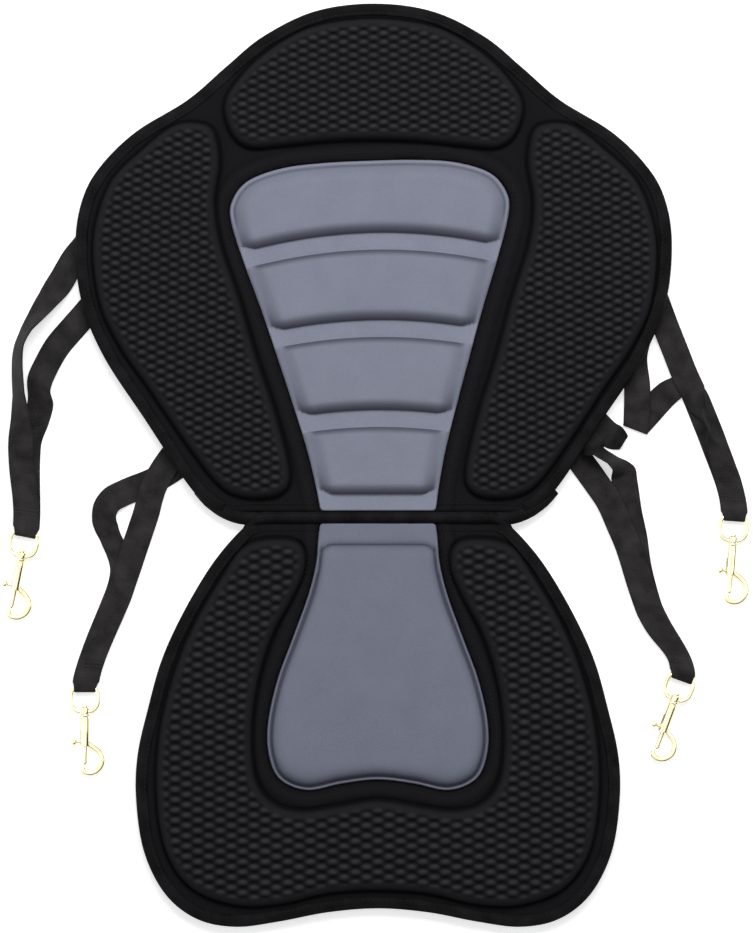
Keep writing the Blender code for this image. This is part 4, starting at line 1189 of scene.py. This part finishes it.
COLLAR_RADIUS = 3.5
COLLAR_HALF_LENGTH = 2.2
STEM_RADIUS = 1.5
STEM_HEAD_RADIUS = 2.7
STEM_HEAD_THICKNESS = 1.6
SHOULDER_RADIUS = 4.0
SHOULDER_THICKNESS = 1.4
BARREL_RADIUS = 3.7
BARREL_START = COLLAR_HALF_LENGTH + CLEARANCE + SHOULDER_THICKNESS
BARREL_END = BARREL_START + 23.0
BORE_DEPTH = 20.0
HOOK_WIRE = 4.0
HOOK_REACH = 13.2
HOOK_LENGTH = 21.0
HOOK_TIP = 0.705
HOOK_CURVE = [
    (0.12, -0.22), (0.23, -0.086), (0.56, 0.057), (0.86, 0.238), (1.0, 0.5), (0.9, 0.743), (0.6, 0.924),
    (0.22, 0.971), (-0.07, 0.886), (-0.144, HOOK_TIP),
]
NOSE_END = BARREL_END + HOOK_LENGTH * HOOK_TIP - 3 * CLEARANCE
BOLT_RADIUS = 1.8
BOLT_LENGTH = 20.0
BOLT_TRAVEL = 8.0
KNOB_PLACE = BARREL_END - 3.4
KNOB_RADIUS = 2.6
KNOB_STEM = 1.2
KNOB_REACH = 8.0
SLOT_WIDTH = 3.0


def turned_rings(profile, sides=32):
    """Circles about the local Y axis, from (radius, y) pairs."""
    return [[(radius * c, y, radius * s) for c, s in circle(sides)] for radius, y in profile]


def rounded_profile(corners, size):
    """A lathe profile with each inner corner cut by a small round."""
    rows = [Vector(c) for c in corners]
    profile = [tuple(rows[0])]
    for before, here, after in zip(rows, rows[1:], rows[2:]):
        reach = min(size, (here - before).length * 0.45, (after - here).length * 0.45)
        start = here + (before - here).normalized() * reach
        end = here + (after - here).normalized() * reach
        for t in (0.0, 0.33, 0.67, 1.0):
            profile.append(tuple((1 - t) ** 2 * start + 2 * t * (1 - t) * here + t * t * end))
    return profile + [tuple(rows[-1])]


def snap_part(name, rings, matrix, closed=False):
    """A metal piece from rings in the snap's own millimetres."""
    moved = [[tuple(matrix @ Vector(p)) for p in ring] for ring in rings]
    obj = swept(name, moved, closed)
    obj.data.set_sharp_from_angle(angle=math.radians(50))
    return obj


def carved(obj, joined, cuts):
    """Joins and cuts an object with others, which are used up."""
    for other, operation in [(o, "UNION") for o in joined] + [(o, "DIFFERENCE") for o in cuts]:
        modifier = obj.modifiers.new(other.name, "BOOLEAN")
        modifier.operation = operation
        modifier.solver = "EXACT"
        modifier.object = other
    shaped = bpy.data.meshes.new_from_object(obj.evaluated_get(bpy.context.evaluated_depsgraph_get()))
    obj.modifiers.clear()
    obj.data = shaped
    for other in joined + cuts:
        bpy.data.objects.remove(other, do_unlink=True)
    shaped.set_sharp_from_angle(angle=math.radians(40))
    return obj


def eye_loop():
    """Centre line of the eye's closed ring, rounded at the webbing's bar."""
    half = EYE_HALF_WIDTH
    right = [(half * 0.55, 0.1), (half * 0.92, -3.6), (half, -8.0), (half, EYE_CORNER - EYE_LENGTH)]
    cut = EYE_CORNER * (1 - math.sqrt(0.5))
    right += [(half - cut, cut - EYE_LENGTH), (half - EYE_CORNER, -EYE_LENGTH)]
    path = [(0, 0.6)] + right + [(-x, y) for x, y in reversed(right)]
    return respaced(smooth_loop(path, 1.0), 1.0)


def eye_piece(name, matrix):
    """The closed ring that the webbing holds, with the collar that the hook's stem turns in."""
    loop = eye_loop()
    reach = EYE_WIRE / 2
    rings = []
    for i, (x, y) in enumerate(loop):
        tangent = loop[(i + 1) % len(loop)] - loop[i - 1]
        tangent /= np.linalg.norm(tangent)
        side = reach * np.array([-tangent[1], tangent[0]])
        rings.append([(x + c * side[0], y + c * side[1], reach * s) for c, s in circle(20)])
    ring = snap_part(name, rings, matrix, closed=True)
    outer = rounded_profile([
        (COLLAR_RADIUS - 0.9, -COLLAR_HALF_LENGTH), (COLLAR_RADIUS, -COLLAR_HALF_LENGTH),
        (COLLAR_RADIUS, COLLAR_HALF_LENGTH), (COLLAR_RADIUS - 0.9, COLLAR_HALF_LENGTH),
    ], 0.7)
    collar = snap_part(name + "_collar", turned_rings(outer), matrix)
    bore = [(STEM_RADIUS + CLEARANCE, -6), (STEM_RADIUS + CLEARANCE, 6)]
    return carved(ring, [collar], [snap_part(name + "_bore", turned_rings(bore), matrix)])


def barrel_rings():
    """The swivel stem with its head, the shoulder and the barrel, turned in one."""
    head_start = -COLLAR_HALF_LENGTH - CLEARANCE
    head_end = head_start - STEM_HEAD_THICKNESS
    return turned_rings(rounded_profile([
        (STEM_HEAD_RADIUS - 1.2, head_end), (STEM_HEAD_RADIUS, head_end), (STEM_HEAD_RADIUS, head_start),
        (STEM_RADIUS, head_start), (STEM_RADIUS, -head_start), (SHOULDER_RADIUS, -head_start),
        (SHOULDER_RADIUS, BARREL_START), (BARREL_RADIUS - 0.3, BARREL_START + 0.5),
        (BARREL_RADIUS, BARREL_START + 3), (BARREL_RADIUS, BARREL_END), (BARREL_RADIUS - 0.8, BARREL_END),
    ], 0.6))


def claw_rings():
    """The hook's wire, a little thicker at its middle and tapered at its tip."""
    path = smooth_path([(HOOK_REACH * x, BARREL_END + HOOK_LENGTH * y, 0) for x, y in HOOK_CURVE], 6)
    last = len(path) - 1
    swell = [1.0 + 0.12 * math.sin(math.pi * k / last) for k in range(len(path))]
    taper = [min(1.0, 0.55 + 0.15 * (last - k)) for k in range(len(path))]
    return tube_rings(path, [HOOK_WIRE / 2 * a * b for a, b in zip(swell, taper)], 20)


def hook_piece(name, matrix):
    """The swivel stem, shoulder, barrel and hook in one casting, with the bolt's bore and the knob's slot."""
    bore_radius = BOLT_RADIUS + CLEARANCE
    bore = [(bore_radius, BARREL_END - BORE_DEPTH), (bore_radius, NOSE_END + CLEARANCE)]
    low = KNOB_PLACE - BOLT_TRAVEL - KNOB_STEM - CLEARANCE
    half = SLOT_WIDTH / 2
    slot = [[(-6, y, -half), (0, y, -half), (0, y, half), (-6, y, half)] for y in (low, BARREL_END + 3)]
    body = snap_part(name, barrel_rings(), matrix)
    claw = snap_part(name + "_claw", claw_rings(), matrix)
    bolt_bore = snap_part(name + "_bolt_bore", turned_rings(bore), matrix)
    return carved(body, [claw], [bolt_bore, snap_part(name + "_slot", slot, matrix)])


def bolt_piece(name, matrix):
    """The sprung bolt with its round nose and thumb knob."""
    profile = rounded_profile([
        (BOLT_RADIUS, NOSE_END - BOLT_LENGTH), (BOLT_RADIUS, NOSE_END - 1.0), (BOLT_RADIUS - 0.8, NOSE_END),
    ], 0.6)
    body = snap_part(name, turned_rings(profile, 24), matrix)
    outline = rounded_profile([
        (KNOB_STEM, 0.4), (KNOB_STEM, KNOB_REACH - 1.6), (KNOB_RADIUS, KNOB_REACH - 0.6),
        (KNOB_RADIUS, KNOB_REACH + 1.4), (KNOB_RADIUS - 1.4, KNOB_REACH + 2.0),
    ], 0.8)
    rings = [[(-reach, KNOB_PLACE + size * c, size * s) for c, s in circle(24)] for size, reach in outline]
    return carved(body, [snap_part(name + "_knob", rings, matrix)], [])


def coil_spring(name):
    """The bolt's spring: a copy of the frame's own spring mesh, carried by the hook's body at one length."""
    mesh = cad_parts[name + "_snap_spring"].data.copy()
    mesh.materials.clear()
    obj = placed(name + "_coil_spring", mesh)
    dress(obj, name + "_hook", STEEL, name + "_snap_spring")
    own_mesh(obj)


def brass(obj, body, replaces):
    dress(obj, body, BRASS, replaces)


def snap(name, spec):
    x, y = spec["swivel"]
    heading = Matrix.Rotation(math.radians(spec["heading"] - 90), 4, "Z")
    eye_frame = Matrix.Translation((x, y + HINGE_Y, SNAP_AXIS_HEIGHT)) @ heading
    droop = math.asin((SNAP_AXIS_HEIGHT - HOOK_WIRE / 2) / HOOK_REACH)
    hook_frame = eye_frame @ Matrix.Rotation(math.pi - droop, 4, "Y")
    brass(eye_piece(name + "_eye_ring", eye_frame), "backrest", name + "_snap_eye")
    brass(hook_piece(name + "_hook_casting", hook_frame), name + "_hook", name + "_snap_hook")
    brass(bolt_piece(name + "_thumb_bolt", hook_frame), name + "_bolt", name + "_snap_bolt")
    coil_spring(name)


def solid_material(name):
    """The plain material of one of the frame's own solids."""
    if name.endswith("_spring"):
        return STEEL
    if "_snap_" in name:
        return BRASS
    return FOAM if "foam" in name else NYLON


for name, spec in STRAPS.items():
    snap(name, spec)
for name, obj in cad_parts.items():
    obj.data.materials.clear()
    obj.data.materials.append(solid_material(name))


# Floor, light and camera

PIXEL = 0.757
VIEW_CENTRE = (2.9, 198.2)
VIEW_HEIGHT = 933 * PIXEL
CAMERA_HEIGHT = 3000.0
FOCUS_HEIGHT = 12.0
FLOOR_REACH = 4000.0
FLOOR_LEVEL = -0.5


def floor_material():
    """Pale floor that the camera sees as white, with the object's soft shadow kept."""
    made, tree, shader = new_material("pale_floor", (0.82, 0.82, 0.82), 0.9)
    mottle = noise(tree, coordinates(tree), 3.0, 3.0)
    tint(tree, shader, mottle, (0.80, 0.80, 0.80), (0.84, 0.84, 0.84))
    path = node(tree, "ShaderNodeLightPath")
    seen = math_node(tree, "MAXIMUM", path.outputs["Is Camera Ray"], path.outputs["Is Glossy Ray"])
    glow = node(tree, "ShaderNodeEmission")
    tree.links.new(math_node(tree, "MULTIPLY", seen, 0.58), glow.inputs["Strength"])
    both = node(tree, "ShaderNodeAddShader")
    tree.links.new(shader.outputs["BSDF"], both.inputs[0])
    tree.links.new(glow.outputs["Emission"], both.inputs[1])
    tree.links.new(both.outputs["Shader"], tree.nodes["Material Output"].inputs["Surface"])
    return made


def studio_floor():
    signs = ((-1, -1), (1, -1), (1, 1), (-1, 1))
    corners = [(x * FLOOR_REACH, y * FLOOR_REACH, FLOOR_LEVEL) for x, y in signs]
    obj = mesh_object("studio_floor", corners, [(0, 1, 2, 3)])
    obj.data.materials.append(floor_material())


def lamp(name, place, width, depth, power):
    """A soft light aimed at the middle of the object."""
    data = bpy.data.lights.new(name, "AREA")
    data.shape = "RECTANGLE"
    data.size, data.size_y = width, depth
    data.energy = power
    obj = placed(name, data)
    obj.location = place
    obj.rotation_euler = (Vector((0, 0.2, 0)) - Vector(place)).to_track_quat("-Z", "Y").to_euler()


def studio_world():
    """Weak white light all round; reflections see more of it overhead, and least low before the seat."""
    world = bpy.context.scene.world or bpy.data.worlds.new("World")
    bpy.context.scene.world = world
    world.use_nodes = True
    tree = world.node_tree
    split = node(tree, "ShaderNodeSeparateXYZ")
    tree.links.new(coordinates(tree, "Generated"), split.inputs[0])
    leaning = math_node(tree, "MULTIPLY_ADD", split.outputs["Y"], 0.5, split.outputs["Z"])
    leaning = math_node(tree, "MULTIPLY_ADD", split.outputs["X"], -0.45, leaning)
    overhead = node(tree, "ShaderNodeMapRange", From_Min=-0.05, From_Max=0.45, To_Min=-0.23, To_Max=0.95)
    tree.links.new(leaning, overhead.inputs["Value"])
    path = node(tree, "ShaderNodeLightPath")
    glossy = math_node(tree, "MULTIPLY", path.outputs["Is Glossy Ray"], overhead.outputs["Result"])
    lit = math_node(tree, "ADD", glossy, 0.24)
    strength = math_node(tree, "MAXIMUM", lit, path.outputs["Is Camera Ray"])
    background = tree.nodes["Background"]
    background.inputs["Color"].default_value = (1, 1, 1, 1)
    tree.links.new(strength, background.inputs["Strength"])


def studio_camera():
    data = bpy.data.cameras.new("camera")
    data.sensor_fit = "VERTICAL"
    data.sensor_height = 24.0
    data.lens = data.sensor_height * (CAMERA_HEIGHT - FOCUS_HEIGHT) / VIEW_HEIGHT
    data.clip_end = 50
    camera = placed("camera", data)
    camera.location = (VIEW_CENTRE[0] * MM, VIEW_CENTRE[1] * MM, CAMERA_HEIGHT * MM)
    bpy.context.scene.camera = camera


studio_floor()
lamp("key", (0.1, 1.35, 1.75), 1.3, 0.8, 30.0)
lamp("fill_left", (-1.5, -0.1, 1.2), 1.0, 1.0, 5.0)
lamp("fill_right", (1.6, 0.2, 1.2), 1.0, 1.0, 4.0)
studio_world()
studio_camera()
bpy.context.scene.view_settings.view_transform = "Standard"
